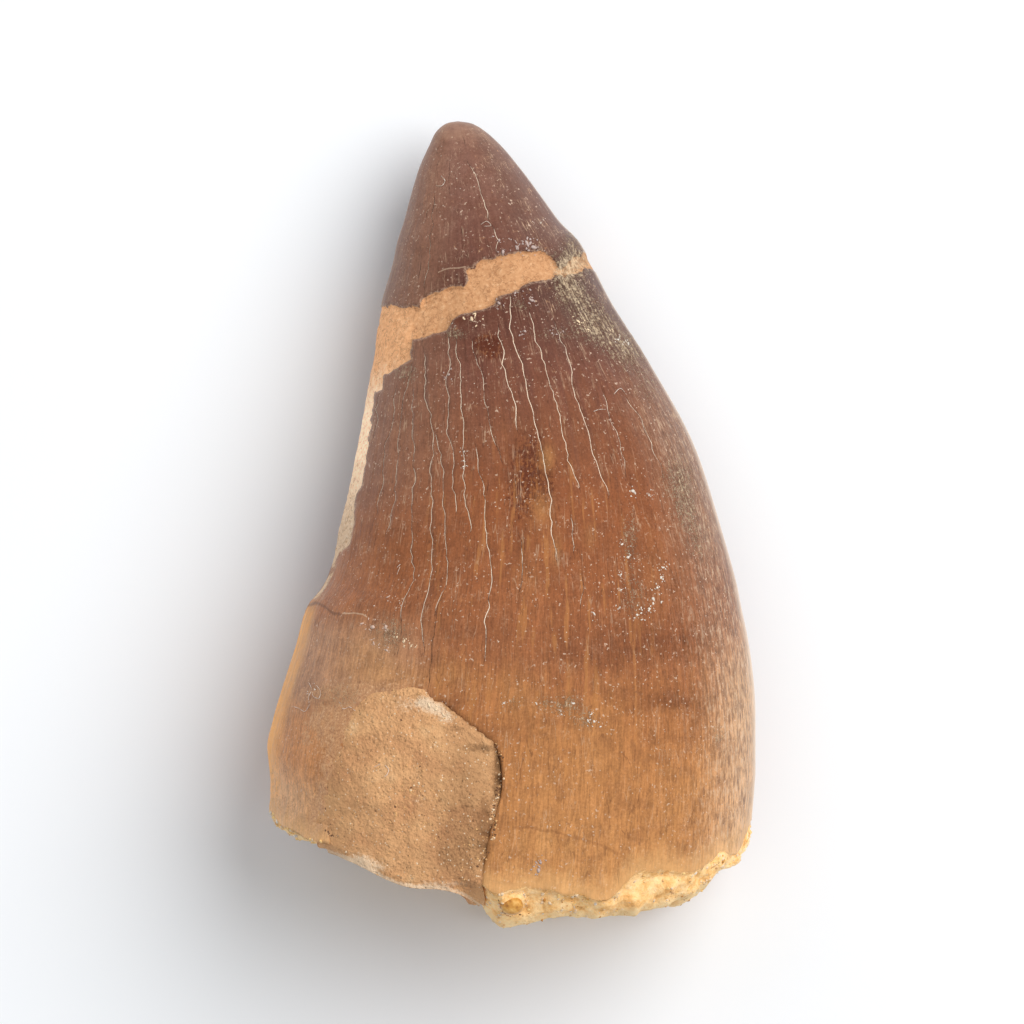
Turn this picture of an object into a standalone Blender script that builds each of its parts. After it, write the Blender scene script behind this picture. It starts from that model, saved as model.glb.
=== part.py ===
"""A fossil mosasaur tooth, lying on its flatter side, with the sandy matrix that fills its broken corner.

The frame: +Y from the broken base to the tip, +X to the right edge, +Z up from the surface it rests on.
All sizes below are in millimetres, and the meshes are written in metres.
"""

import math

import bmesh
import bpy
import numpy as np
from mathutils import Euler, Matrix, Vector

MM = 0.001
LENGTH = 60.0

# The crown seen from above, from the tip to the base corners: (along, left edge, right edge).
OUTLINE = (
    (30.0, -4.0, -4.0),
    (29.7, -5.0, -2.9),
    (29.0, -5.6, -2.0),
    (28.1, -6.1, -1.2),
    (26.7, -6.7, 0.1),
    (24.1, -7.5, 2.2),
    (22.2, -8.0, 3.5),
    (21.1, -8.4, 4.8),
    (19.4, -8.8, 5.9),
    (16.6, -9.5, 7.2),
    (12.1, -10.4, 10.2),
    (6.2, -11.5, 13.5),
    (0.2, -12.7, 15.5),
    (-4.8, -14.2, 16.8),
    (-5.9, -15.1, 17.0),
    (-8.8, -16.1, 17.6),
    (-14.7, -17.8, 18.2),
    (-17.0, -18.2, 18.2),
    (-18.8, -18.0, 18.2),
    (-21.8, -18.1, 17.9),
)
# The lower end of the tooth seen from above: (across, along), from the left corner to the right.
BASE_LINE = (
    (-18.2, -21.8),
    (-16.9, -22.9),
    (-13.2, -24.4),
    (-8.2, -26.7),
    (-2.9, -27.9),
    (-2.1, -28.6),
    (-1.2, -29.7),
    (0.3, -30.0),
    (1.8, -29.6),
    (5.3, -29.6),
    (9.7, -29.0),
    (14.4, -27.4),
    (15.3, -26.2),
    (16.9, -25.2),
    (17.5, -23.8),
    (18.2, -21.8),
)
# Along the tooth: (along, height of its widest level, rise above it and drop below it as shares of half its width).
LEVELS = (
    (-22.0, 9.9, 0.80, 0.57),
    (-10.0, 9.4, 0.80, 0.57),
    (0.0, 8.1, 0.82, 0.60),
    (10.0, 6.9, 0.84, 0.60),
    (20.0, 6.0, 0.86, 0.63),
    (30.0, 5.9, 0.88, 0.66),
)
TOP_SQUARENESS = 2.2  # the power of a section's upper half, where 2 is an ellipse
UNDER_SQUARENESS = 2.45
CORNER_Y = -21.8  # where the side edges end and the base line begins
BEND_START_Y = -3.0  # below here the rings start to follow the base line

# The broken rim at the base, and the end face inside it.
RIM_WIDTH_LEFT = 1.0
RIM_WIDTH_RIGHT = 2.2
RIM_STEP = 0.25
RIM_INSET = 0.80
BASE_MIDDLE = (0.5, -27.6, 10.8)
# Lumps on the rim: (across, along, radius, rise).
LUMPS = (
    (-0.5, -28.3, 1.4, 0.9),
    (3.4, -28.4, 0.9, 0.5),
    (6.4, -28.6, 0.9, 0.6),
    (8.9, -28.0, 0.8, 0.4),
    (12.2, -27.4, 1.0, 0.6),
    (15.4, -25.2, 0.9, 0.5),
    (-14.3, -23.6, 1.0, 0.6),
    (-16.9, -22.0, 0.9, 0.5),
)

ENAMEL_THICKNESS = 0.45
ENAMEL_AT_EDGE = 0.12
MATRIX_SET_BACK = 0.25
GAP = 0.3

# Where the enamel is gone from the upper face: across the upper crown and down the left edge.
FRONT_LOSS = (
    (-13.0, 16.3),
    (-8.6, 16.1),
    (-6.8, 15.9),
    (-6.6, 16.8),
    (-5.1, 17.4),
    (-3.4, 17.7),
    (-3.3, 18.8),
    (-2.1, 19.5),
    (1.0, 20.2),
    (1.8, 19.7),
    (3.3, 19.4),
    (5.3, 20.4),
    (10.0, 19.8),
    (10.5, 18.2),
    (5.1, 18.5),
    (3.7, 18.1),
    (0.4, 17.4),
    (-1.1, 16.8),
    (-1.7, 15.9),
    (-4.5, 15.2),
    (-4.7, 14.4),
    (-7.3, 13.5),
    (-7.5, 12.2),
    (-9.6, 11.0),
    (-9.7, 9.9),
    (-10.3, 9.8),
    (-10.7, 5.2),
    (-11.5, 2.2),
    (-12.1, -1.6),
    (-12.9, -2.2),
    (-14.2, -5.6),
    (-17.0, -5.8),
)
# How far down the left flank that loss reaches: (along, height).
FLANK_LOSS = (
    (24.0, 30.0),
    (24.0, 2.0),
    (14.2, 2.0),
    (13.6, 3.6),
    (11.4, 4.1),
    (9.0, 3.3),
    (6.6, 4.8),
    (4.0, 4.4),
    (1.6, 6.0),
    (-1.5, 5.7),
    (-3.4, 7.6),
    (-6.6, 8.4),
    (-6.6, 30.0),
)
# The same break on the underside, where it is narrower.
BACK_LOSS = (
    (-13.0, 16.3),
    (-8.0, 16.2),
    (-5.5, 16.9),
    (-1.5, 17.6),
    (-1.3, 18.7),
    (3.2, 19.3),
    (10.0, 19.8),
    (10.5, 18.2),
    (4.0, 17.4),
    (0.6, 16.6),
    (-3.0, 16.2),
    (-3.3, 15.2),
    (-7.0, 14.6),
    (-13.0, 14.2),
)
# The sandy matrix at the lower left, from its left side round over the top and down its right side.
PATCH = (
    (-13.6, -24.4),
    (-14.0, -22.4),
    (-13.4, -19.6),
    (-12.6, -17.0),
    (-11.7, -14.4),
    (-10.3, -12.8),
    (-8.3, -12.4),
    (-6.4, -12.5),
    (-4.7, -13.7),
    (-3.1, -14.9),
    (-1.3, -16.2),
    (-0.7, -17.8),
    (-0.7, -20.0),
    (-1.3, -21.8),
    (-1.8, -24.0),
    (-2.2, -26.5),
)
BOWL_MIDDLE = (-7.2, -24.0, 26.0)  # the matrix fills a rounded hollow, part of this ellipsoid
BOWL_RADII = (9.6, 16.0, 12.6)
BOWL_TURNS = 28
BELOW_BOWL = 12.0
FAR = 34.0  # further than the tooth reaches from the frame's origin

UPPER_TURNS = 52
UNDER_TURNS = 20
PATCH_FINENESS = 2  # how much closer the matrix's points are than the crown's
NOISE_CELLS = 32

COLOURS = {
    "enamel": (0.255, 0.105, 0.048, 1.0),
    "matrix": (0.560, 0.310, 0.150, 1.0),
}
ROUGHNESS = {"enamel": 0.42, "matrix": 0.9}


def ease(share):
    """0 below 0, 1 above 1, and smooth between."""
    share = np.clip(share, 0.0, 1.0)
    return share * share * (3 - 2 * share)


def smooth_through(rows, at):
    """Values of a smooth curve through rows of (parameter, values...), read at the parameters given."""
    table = np.array(rows, float)
    knots, values = table[:, 0], table[:, 1:]
    slopes = np.gradient(values, knots, axis=0)
    at = np.clip(at, knots[0], knots[-1])
    cell = np.clip(np.searchsorted(knots, at, side="right") - 1, 0, len(knots) - 2)
    span = (knots[cell + 1] - knots[cell])[:, None]
    t = (at - knots[cell])[:, None] / span
    from_start = values[cell] * (2 * t**3 - 3 * t**2 + 1) + slopes[cell] * span * (t**3 - 2 * t**2 + t)
    from_end = values[cell + 1] * (3 * t**2 - 2 * t**3) + slopes[cell + 1] * span * (t**3 - t**2)
    return from_start + from_end


def outline_by_length():
    """The outline's rows, each behind its share of the length from the tip to the base corners."""
    rows = np.array(OUTLINE)
    steps = np.linalg.norm(np.diff(rows, axis=0), axis=1)
    run = np.concatenate([[0.0], np.cumsum(steps)])
    return np.column_stack([run / run[-1], rows])


def noise(points, size, seed):
    """Smooth noise from -1 to 1: random values on a lattice of this size, blended inside each cell."""
    lattice = np.random.default_rng(seed).uniform(-1, 1, (NOISE_CELLS,) * 3)
    low = np.floor(points / size).astype(int)
    part = ease(points / size - low)
    total = np.zeros(len(points))
    for corner in np.ndindex(2, 2, 2):
        x, y, z = ((low + corner) % NOISE_CELLS).T
        total += np.prod(np.where(corner, part, 1 - part), axis=1) * lattice[x, y, z]
    return total


def wall_section(turn, along, left, right):
    """Across and height of the wall: half a squared ellipse on each side of the widest level."""
    widest, rise, drop = smooth_through(LEVELS, along).T
    upper = np.sin(turn) >= 0
    power = 2 / np.where(upper, TOP_SQUARENESS, UNDER_SQUARENESS)
    half = (right - left) / 2
    across = np.sign(np.cos(turn)) * np.abs(np.cos(turn)) ** power
    height = np.sign(np.sin(turn)) * np.abs(np.sin(turn)) ** power
    x = (left + right) / 2 + half * across
    z = widest + half * height * np.where(upper, rise, drop)
    return x, z, widest


def body(turn, down, set_back=0.0, edge_set_back=0.0):
    """The tooth's outside as points for angles round it and places down it.

    turn is 0 at the right edge and a quarter turn on the upper face. down runs from 0 at the tip to 1 at the
    enamel's lower edge, 2 at the edge of the broken rim and 3 at the middle of the base.
    """
    along, left, right = smooth_through(outline_by_length(), np.minimum(down, 1)).T
    x, z, widest = wall_section(turn, along, left, right)
    base_y = smooth_through(BASE_LINE, x)[:, 0]
    upper = np.clip((z - widest) / 8, 0, 1)
    rim_width = RIM_WIDTH_LEFT + (RIM_WIDTH_RIGHT - RIM_WIDTH_LEFT) * ease((x + 6) / 8)
    rim_width *= 0.45 + 0.55 * upper
    bend = ease((BEND_START_Y - along) / (BEND_START_Y - CORNER_Y))
    y = along + bend * (base_y + rim_width - CORNER_Y)

    rim = np.clip(down - 1, 0, 1)
    y -= rim * rim_width
    z = widest + (z - widest) * (1 - (1 - RIM_INSET) * rim**1.5)
    inward = np.clip(down - 2, 0, 1)
    x += (BASE_MIDDLE[0] - x) * inward
    y += (BASE_MIDDLE[1] - y) * ease(inward * 1.5)
    z += (BASE_MIDDLE[2] - z) * inward

    points = np.column_stack([x, y, z])
    outward = np.column_stack([0.7 * (x - (left + right) / 2), np.zeros(len(x)), z - widest])
    outward /= np.maximum(np.linalg.norm(outward, axis=1), 1e-6)[:, None]
    outward *= (1 - ease(inward * 3))[:, None]
    broken = ease((down - 1) / 0.25)
    crumbs = broken * (0.30 * noise(points, 2.6, 2) + 0.22 * noise(points, 1.3, 3))
    step = RIM_STEP * ease((down - 1) / 0.08)
    points += outward * (0.10 * noise(points, 8.0, 1) + crumbs - step)[:, None]
    points[:, 1] -= broken * (0.5 * noise(points, 4.2, 4) + 0.7 * crumbs)
    for lump_x, lump_y, radius, rise in LUMPS:
        away = np.hypot(points[:, 0] - lump_x, points[:, 1] - lump_y) / radius
        points[:, 2] += rise * upper * outward[:, 2] * np.exp(-(away**2))

    points -= outward * (edge_set_back, 0, set_back)
    points[:, 1] += set_back * (broken - ease((along - 27) / 3))
    return np.maximum(points, (-LENGTH, -LENGTH / 2, set_back))


def places_down():
    """How far down the tooth each ring is: closer together at the tip, the upper break and the rim."""
    tip = 0.05 * np.linspace(0, 1, 6)[:-1] ** 1.3
    upper = np.linspace(0.05, 0.22, 6)[:-1]
    upper_break = np.linspace(0.22, 0.38, 10)[:-1]
    wall = np.linspace(0.38, 1.0, 18)
    rim = 1 + np.array([0.08, 0.3, 0.5, 0.75, 1.0])
    base = 2 + np.linspace(0, 1, 8)[1:]
    return np.concatenate([tip, upper, upper_break, wall, rim, base])


def tooth_mesh(name, fineness=1, **insets):
    """A sphere drawn out into the tooth: its north pole is the tip and its south pole the base's middle."""
    places = places_down()
    turns = (UPPER_TURNS + UNDER_TURNS) * fineness
    rings = (len(places) - 1) * fineness
    mesh = bpy.data.meshes.new(name)
    ball = bmesh.new()
    bmesh.ops.create_uvsphere(ball, u_segments=turns, v_segments=rings, radius=1.0)
    ball.to_mesh(mesh)
    ball.free()
    sphere = np.empty(len(mesh.vertices) * 3, np.float32)
    mesh.vertices.foreach_get("co", sphere)
    sphere = sphere.reshape(-1, 3).astype(float)
    lap = np.mod(-np.arctan2(sphere[:, 1], sphere[:, 0]) / math.tau, 1)
    upper_share = UPPER_TURNS / (UPPER_TURNS + UNDER_TURNS)
    turn = math.pi * np.interp(lap, (0, upper_share, 1), (0, 1, 2))
    ring = np.arccos(np.clip(sphere[:, 2], -1, 1)) / math.pi
    down = np.interp(ring, np.linspace(0, 1, len(places)), places)
    points = body(turn, down, **insets) * MM
    mesh.vertices.foreach_set("co", points.astype(np.float32).ravel())
    mesh.shade_smooth()
    mesh.update()
    return mesh


def as_helper(made, collection):
    collection.objects.link(made)
    made.hide_render = True
    made.display_type = "WIRE"


def prism(name, outline, low, high, collection, rotation=(0, 0, 0)):
    """A cutter: a flat outline given thickness from low to high along its own Z, as a mesh."""
    curve = bpy.data.curves.new(name, "CURVE")
    curve.dimensions = "2D"
    curve.fill_mode = "BOTH"
    curve.extrude = (high - low) / 2 * MM
    line = curve.splines.new("POLY")
    line.points.add(len(outline) - 1)
    for point, (x, y) in zip(line.points, outline):
        point.co = (x * MM, y * MM, 0, 1)
    line.use_cyclic_u = True
    guide = bpy.data.objects.new(name + "_line", curve)
    guide.rotation_euler = rotation
    guide.location = Euler(rotation).to_matrix() @ Vector((0, 0, (high + low) / 2 * MM))
    bpy.context.scene.collection.objects.link(guide)
    bpy.context.view_layer.update()
    graph = bpy.context.evaluated_depsgraph_get()
    mesh = bpy.data.meshes.new_from_object(guide.evaluated_get(graph))
    welded = bmesh.new()
    welded.from_mesh(mesh)
    bmesh.ops.remove_doubles(welded, verts=welded.verts, dist=1e-6)
    bmesh.ops.recalc_face_normals(welded, faces=welded.faces)
    welded.to_mesh(mesh)
    welded.free()
    made = bpy.data.objects.new(name, mesh)
    made.matrix_world = guide.matrix_world.copy()
    bpy.data.objects.remove(guide)
    as_helper(made, collection)
    return made


def bowl(name, smaller, collection):
    """A cutter: the ellipsoid whose lower part is the hollow that the matrix fills."""
    mesh = bpy.data.meshes.new(name)
    ball = bmesh.new()
    bmesh.ops.create_uvsphere(ball, u_segments=BOWL_TURNS, v_segments=BOWL_TURNS // 2, radius=1.0)
    ball.to_mesh(mesh)
    ball.free()
    radii = [(radius - smaller) * MM for radius in BOWL_RADII]
    mesh.transform(Matrix.Translation(Vector(BOWL_MIDDLE) * MM) @ Matrix.Diagonal((*radii, 1.0)))
    made = bpy.data.objects.new(name, mesh)
    as_helper(made, collection)
    return made


def combine(target, other, operation):
    step = target.modifiers.new(f"{operation.lower()}_{other.name}", "BOOLEAN")
    step.operation = operation
    step.solver = "EXACT"
    step.object = other


def widened(outline, gap):
    """The outline moved outwards by the gap, square to the line between each point's neighbours."""
    points = np.array(outline)
    along = np.roll(points, -1, axis=0) - np.roll(points, 1, axis=0)
    outward = np.column_stack([-along[:, 1], along[:, 0]])
    outward /= np.linalg.norm(outward, axis=1)[:, None]
    return [tuple(point) for point in points + outward * gap]


def material(name):
    made = bpy.data.materials.new(name)
    made.use_nodes = True
    shader = made.node_tree.nodes["Principled BSDF"]
    shader.inputs["Base Color"].default_value = COLOURS[name]
    shader.inputs["Roughness"].default_value = ROUGHNESS[name]
    shader.inputs["Metallic"].default_value = 0.0
    return made


def node(name, mesh, finish, collection):
    made = bpy.data.objects.new(name, mesh)
    mesh.materials.append(material(finish))
    collection.objects.link(made)
    return made


def build_crown(parts, cutters):
    """The tooth itself: enamel over a core of dentine, which shows where the enamel is gone."""
    crown = node("tooth_crown", tooth_mesh("tooth_crown"), "enamel", parts)
    core_mesh = tooth_mesh("dentine", set_back=ENAMEL_THICKNESS, edge_set_back=ENAMEL_AT_EDGE)
    core = bpy.data.objects.new("dentine", core_mesh)
    as_helper(core, cutters)
    front = prism("front_loss", FRONT_LOSS, 0.0, FAR, cutters)
    side_on = (math.pi / 2, 0, math.pi / 2)
    combine(front, prism("flank_loss", FLANK_LOSS, -FAR, FAR, cutters, side_on), "INTERSECT")
    back = prism("back_loss", BACK_LOSS, -FAR, LEVELS[-2][1], cutters)
    pocket_line = widened(PATCH, GAP) + [(-2.0, -FAR), (-14.0, -FAR)]
    pocket = prism("pocket", pocket_line, BELOW_BOWL, FAR, cutters)
    combine(pocket, bowl("pocket_bowl", 0.0, cutters), "INTERSECT")
    combine(crown, front, "DIFFERENCE")
    combine(crown, back, "DIFFERENCE")
    combine(crown, core, "UNION")
    combine(crown, pocket, "DIFFERENCE")


def build_matrix(parts, cutters):
    """The sandy fill of the broken lower left corner, flush with the crown but for a shallow step."""
    mesh = tooth_mesh("sandy_matrix", PATCH_FINENESS, set_back=MATRIX_SET_BACK)
    matrix = node("sandy_matrix", mesh, "matrix", parts)
    plug_line = list(PATCH) + [(-2.3, -FAR), (-13.7, -FAR)]
    combine(matrix, prism("plug", plug_line, BELOW_BOWL, FAR, cutters), "INTERSECT")
    combine(matrix, bowl("plug_bowl", GAP, cutters), "INTERSECT")


def main():
    for old in list(bpy.data.objects):
        bpy.data.objects.remove(old, do_unlink=True)
    parts = bpy.data.collections.new("mosasaur_tooth")
    cutters = bpy.data.collections.new("cutters")
    for collection in (parts, cutters):
        bpy.context.scene.collection.children.link(collection)
    build_crown(parts, cutters)
    build_matrix(parts, cutters)


main()
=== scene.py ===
import math
from types import SimpleNamespace

import bmesh
import bpy
import numpy as np
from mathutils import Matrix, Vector


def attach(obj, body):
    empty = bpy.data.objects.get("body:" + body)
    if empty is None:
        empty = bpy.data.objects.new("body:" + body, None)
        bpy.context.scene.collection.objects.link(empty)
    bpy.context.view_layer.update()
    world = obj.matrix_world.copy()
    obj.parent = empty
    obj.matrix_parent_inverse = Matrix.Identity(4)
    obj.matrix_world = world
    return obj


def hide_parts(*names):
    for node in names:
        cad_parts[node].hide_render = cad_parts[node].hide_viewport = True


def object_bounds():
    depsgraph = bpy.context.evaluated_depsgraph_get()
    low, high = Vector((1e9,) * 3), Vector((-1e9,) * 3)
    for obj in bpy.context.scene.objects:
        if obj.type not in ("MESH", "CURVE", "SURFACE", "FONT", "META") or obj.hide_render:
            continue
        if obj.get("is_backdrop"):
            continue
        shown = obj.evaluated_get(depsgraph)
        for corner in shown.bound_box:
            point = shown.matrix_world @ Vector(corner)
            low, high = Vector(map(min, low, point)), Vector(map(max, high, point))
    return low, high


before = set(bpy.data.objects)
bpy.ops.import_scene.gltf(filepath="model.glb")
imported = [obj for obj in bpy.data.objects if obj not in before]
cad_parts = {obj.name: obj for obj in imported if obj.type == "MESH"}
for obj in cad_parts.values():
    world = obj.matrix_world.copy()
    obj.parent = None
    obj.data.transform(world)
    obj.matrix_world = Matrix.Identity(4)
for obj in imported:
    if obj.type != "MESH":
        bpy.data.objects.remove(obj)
cadLow, cadHigh = (np.array(corner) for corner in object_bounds())
print("frame loaded:", sorted(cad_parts))

mm = 0.001  # every size below is in millimetres, in the tooth's own frame: +Y to the tip, +Z up
photo = {"mmPerPixel": 60 / 804, "middleX": 511.5, "middleY": 522.5}

toothShape = {
    # along the tooth, left edge, right edge, seen from above
    "outline": (
        (30.0, -4.0, -4.0), (29.8, -4.9, -2.9), (29.2, -5.6, -1.9), (28.2, -6.1, -0.8), (26.4, -6.9, 0.7),
        (24.4, -7.5, 2.2), (22.5, -8.0, 3.6), (20.9, -8.5, 5.1), (19.4, -8.8, 5.9), (16.6, -9.6, 7.3),
        (12.1, -10.4, 10.2), (6.2, -11.5, 13.5), (0.2, -12.7, 15.5), (-4.8, -14.2, 16.8), (-5.9, -15.1, 17.0),
        (-8.8, -16.1, 17.6), (-14.7, -17.8, 18.2), (-17.0, -18.2, 18.2), (-18.8, -18.0, 18.2),
        (-21.8, -18.1, 17.9),
    ),
    # across, along: the broken lower end seen from above
    "baseLine": (
        (-18.2, -21.8), (-17.3, -22.9), (-15.9, -23.8), (-13.2, -24.5), (-8.2, -26.7), (-2.9, -27.9),
        (-2.1, -28.6), (-1.2, -29.7), (0.3, -30.0), (1.8, -29.6), (5.3, -29.6), (9.7, -29.0),
        (14.4, -27.4), (15.3, -26.2), (16.9, -25.2), (17.5, -23.8), (18.2, -21.8),
    ),
    # along, height of the widest level, rise above it and drop below it as shares of half the width
    "levels": (
        (-22.0, 9.9, 0.80, 0.57), (-10.0, 9.4, 0.80, 0.57), (0.0, 8.1, 0.82, 0.60), (10.0, 6.9, 0.84, 0.60),
        (20.0, 6.0, 0.86, 0.63), (30.0, 5.9, 0.88, 0.66),
    ),
    # along, left edge, right edge of the smooth shape that the enamel's fibres follow
    "fibreEdges": (
        (-32.0, -19.4, 18.2), (-8.8, -15.6, 17.6), (6.2, -11.6, 13.5), (20.0, -8.7, 5.6), (30.0, -4.8, -2.8),
    ),
    "topSquareness": 2.2,
    "underSquareness": 2.45,
    "cornerY": -21.8,
    "bendStartY": -3.0,
}
rimShape = {
    # across, how far the broken rim reaches up from the lower end
    "width": (
        (-19.0, 0.8), (-6.0, 0.9), (-2.5, 1.6), (-0.3, 2.9), (1.5, 2.8), (4.7, 2.2), (7.6, 1.9), (8.8, 3.0),
        (10.0, 3.3), (12.3, 3.0), (14.4, 2.3), (15.8, 1.6), (19.0, 1.0),
    ),
    "underShare": 0.45,  # how wide the rim still is on the underside
    "step": 0.18,  # from the enamel down to the rim
    "inset": 0.80,  # how much of its height the rim keeps at the lower end
    "middle": (0.5, -27.6, 10.8),  # of the end face
    "behindMatrix": (-14.4, -1.9, 0.45),  # from and to across, and how far the end is set back there
    # across, along, radius, rise
    "lumps": (
        (-0.5, -28.3, 1.3, 0.9), (3.4, -28.4, 0.8, 0.5), (6.4, -28.6, 0.7, 0.6), (8.9, -28.0, 0.7, 0.4),
        (12.2, -27.4, 0.9, 0.5), (15.4, -25.2, 0.8, 0.5), (-14.3, -23.6, 0.8, 0.5), (-16.9, -22.0, 0.8, 0.4),
    ),
}
# random lumps on each surface: size of a lump, its height and its seed
lumpLayers = {
    "swell": ((8.0, 0.10, 1),),
    "enamelChips": ((1.1, 0.26, 23), (0.5, 0.18, 24), (0.25, 0.10, 25)),
    "crumbs": ((2.6, 0.30, 2), (1.3, 0.22, 3), (0.7, 0.16, 21), (0.36, 0.10, 22)),
    "endFace": ((4.2, 0.32, 4),),
    "ribs": ((1.1, 0.040, 31), (0.5, 0.024, 32)),
    "lossEdge": ((0.9, 0.16, 41), (0.45, 0.112, 42)),
    "bareGrain": ((0.9, 0.07, 43), (0.4, 0.05, 44)),
    "crust": ((0.45, 1.0, 51), (0.9, 0.6, 52)),
    "clingingSand": ((0.55, 0.10, 54), (0.3, 0.06, 55)),
    "hollowEdge": ((0.5, 0.07, 53),),
    "matrixSkin": ((2.2, 0.10, 71), (0.9, 0.07, 72), (0.45, 0.035, 73)),
    "matrixWall": ((1.8, 0.12, 74), (0.8, 0.10, 75)),
    "matrixFoot": ((1.2, 0.30, 79),),
}


def ease(share):
    # 3s squared minus 2s cubed, held at 0 and 1 outside that span
    share = np.clip(share, 0.0, 1.0)
    return share * share * (3 - 2 * share)


def smoothThrough(rows, at):
    # cubic Hermite curve through rows of (parameter, values), with the table's own slopes
    table = np.array(rows, float)
    knots, values = table[:, 0], table[:, 1:]
    slopes = np.gradient(values, knots, axis=0)
    at = np.clip(at, knots[0], knots[-1])
    cell = np.clip(np.searchsorted(knots, at, side="right") - 1, 0, len(knots) - 2)
    span = (knots[cell + 1] - knots[cell])[:, None]
    t = (at - knots[cell])[:, None] / span
    fromStart = values[cell] * (2 * t**3 - 3 * t**2 + 1) + slopes[cell] * span * (t**3 - 2 * t**2 + t)
    fromEnd = values[cell + 1] * (3 * t**2 - 2 * t**3) + slopes[cell + 1] * span * (t**3 - t**2)
    return fromStart + fromEnd


def lumpy(points, size, seed):
    # random values on a lattice of this size, blended inside each cell: -1 to 1
    cells = 32
    lattice = np.random.default_rng(seed).uniform(-1, 1, (cells,) * 3)
    low = np.floor(points / size).astype(int)
    part = ease(points / size - low)
    total = np.zeros(len(points))
    for corner in np.ndindex(2, 2, 2):
        x, y, z = ((low + corner) % cells).T
        total += np.prod(np.where(corner, part, 1 - part), axis=1) * lattice[x, y, z]
    return total


def rough(points, kind):
    # the random lumps of one kind added up
    return sum(height * lumpy(points, size, seed) for size, height, seed in lumpLayers[kind])


def fromPixels(points):
    # photograph pixels to millimetres across and along the tooth
    points = np.array(points, float)
    x = (points[:, 0] - photo["middleX"]) * photo["mmPerPixel"]
    y = (photo["middleY"] - points[:, 1]) * photo["mmPerPixel"]
    return np.column_stack([x, y])


def lengthAlong(points):
    # how far along a line of points each of them comes
    return np.concatenate([[0.0], np.cumsum(np.linalg.norm(np.diff(points, axis=0), axis=1))])


# the outline's rows, each with its share of the way from the tip to the corner
outlineRun = lengthAlong(toothShape["outline"])
toothRows = np.column_stack([outlineRun / outlineRun[-1], toothShape["outline"]])


def rimWidthAt(x):
    # a smooth curve through the rim's widths
    return smoothThrough(rimShape["width"], x)[:, 0]


def baseYAt(x):
    # a smooth curve through the lower end's points
    return smoothThrough(toothShape["baseLine"], x)[:, 0]


def bendAt(along):
    # 0 where the crown is still straight, 1 at its corner: how far a row follows the slanting lower end
    start, corner = toothShape["bendStartY"], toothShape["cornerY"]
    return ease((start - along) / (start - corner))


def beforeBend(x, y):
    # solves y = along + bend(along) * drop(x) by repeated substitution
    drop = baseYAt(x) + rimWidthAt(x) - toothShape["cornerY"]
    along = y.copy()
    for _ in range(14):
        along = y - bendAt(along) * drop
    return along


def sideEdges(along):
    # left and right edge for a distance along the tooth
    return smoothThrough(toothShape["outline"][::-1], along).T


def topHeight(x, y, inset):
    # z of the upper face: widest level plus the rise of a squared ellipse, falling away over the rim
    rimWidth = rimWidthAt(x)
    rim = np.clip(1 - (y - baseYAt(x)) / rimWidth, 0, 1)
    along = beforeBend(x, np.maximum(y, baseYAt(x) + rimWidth))
    left, right = sideEdges(along)
    widest, rise, _ = smoothThrough(toothShape["levels"], along).T
    across = np.clip(np.abs(2 * (x - left) / (right - left) - 1), 0, 1)
    power = toothShape["topSquareness"]
    up = (right - left) / 2 * rise * (1 - across**power) ** (1 / power)
    z = widest + up * (1 - (1 - inset) * rim**1.5)
    return z + rough(np.column_stack([x, y, z]), "swell")


def signedDistance(xy, corners):
    # distance to a closed outline, negative inside it
    corners = np.array(corners, float)
    nearest = np.full(len(xy), 1e9)
    inside = np.zeros(len(xy), bool)
    for start, end in zip(corners, np.roll(corners, -1, axis=0)):
        edge = end - start
        share = np.clip(((xy - start) @ edge) / (edge @ edge), 0, 1)
        nearest = np.minimum(nearest, np.linalg.norm(xy - start - share[:, None] * edge, axis=1))
        crosses = (start[1] > xy[:, 1]) != (end[1] > xy[:, 1])
        level = np.where(edge[1] == 0, 1e-9, edge[1])
        inside ^= crosses & (xy[:, 0] < start[0] + (xy[:, 1] - start[1]) / level * edge[0])
    return np.where(inside, -nearest, nearest)


def closedMesh(name, rings, fields, tipRise=0.0):
    # rings of points joined by quads, with a fan of triangles to the middle of the first and of the last ring
    rows, columns = rings.shape[:2]
    poles = rings[[0, -1]].mean(axis=1) + [(0, tipRise, 0), (0, 0, 0)]
    points = np.vstack([poles[:1], rings.reshape(-1, 3), poles[1:]]) * mm
    index = 1 + np.arange(rows * columns).reshape(rows, columns)
    beside = np.roll(index, -1, axis=1)
    quads = np.stack([index[:-1], beside[:-1], beside[1:], index[1:]], axis=-1).reshape(-1, 4)
    first = np.column_stack([np.zeros(columns, int), beside[0], index[0]])
    last = np.column_stack([index[-1], beside[-1], np.full(columns, len(points) - 1)])
    mesh = bpy.data.meshes.new(name)
    mesh.from_pydata(points, [], first.tolist() + quads.tolist() + last.tolist())
    for field, values in fields.items():
        ends = (values[0].mean(axis=0, keepdims=True), values[-1].mean(axis=0, keepdims=True))
        flat = np.concatenate([ends[0], values.reshape(rows * columns, *values.shape[2:]), ends[1]])
        kind = "FLOAT_VECTOR" if flat.ndim > 1 else "FLOAT"
        made = mesh.attributes.new(field, kind, "POINT")
        made.data.foreach_set("vector" if flat.ndim > 1 else "value", flat.astype(np.float32).ravel())
    mesh.shade_smooth()
    mesh.update()
    return mesh


def piece(name, mesh, material):
    # an object at the origin that rides on the tooth's one body
    made = bpy.data.objects.new(name, mesh)
    mesh.materials.append(material)
    bpy.context.scene.collection.objects.link(made)
    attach(made, "root")
    return made


# Shader graphs

def srgb(red, green, blue):
    # 0 to 255 as seen on screen, to the linear colour that a shader takes
    channels = [c / 255 for c in (red, green, blue)]
    return (*[c / 12.92 if c <= 0.04045 else ((c + 0.055) / 1.055) ** 2.4 for c in channels], 1.0)


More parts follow.
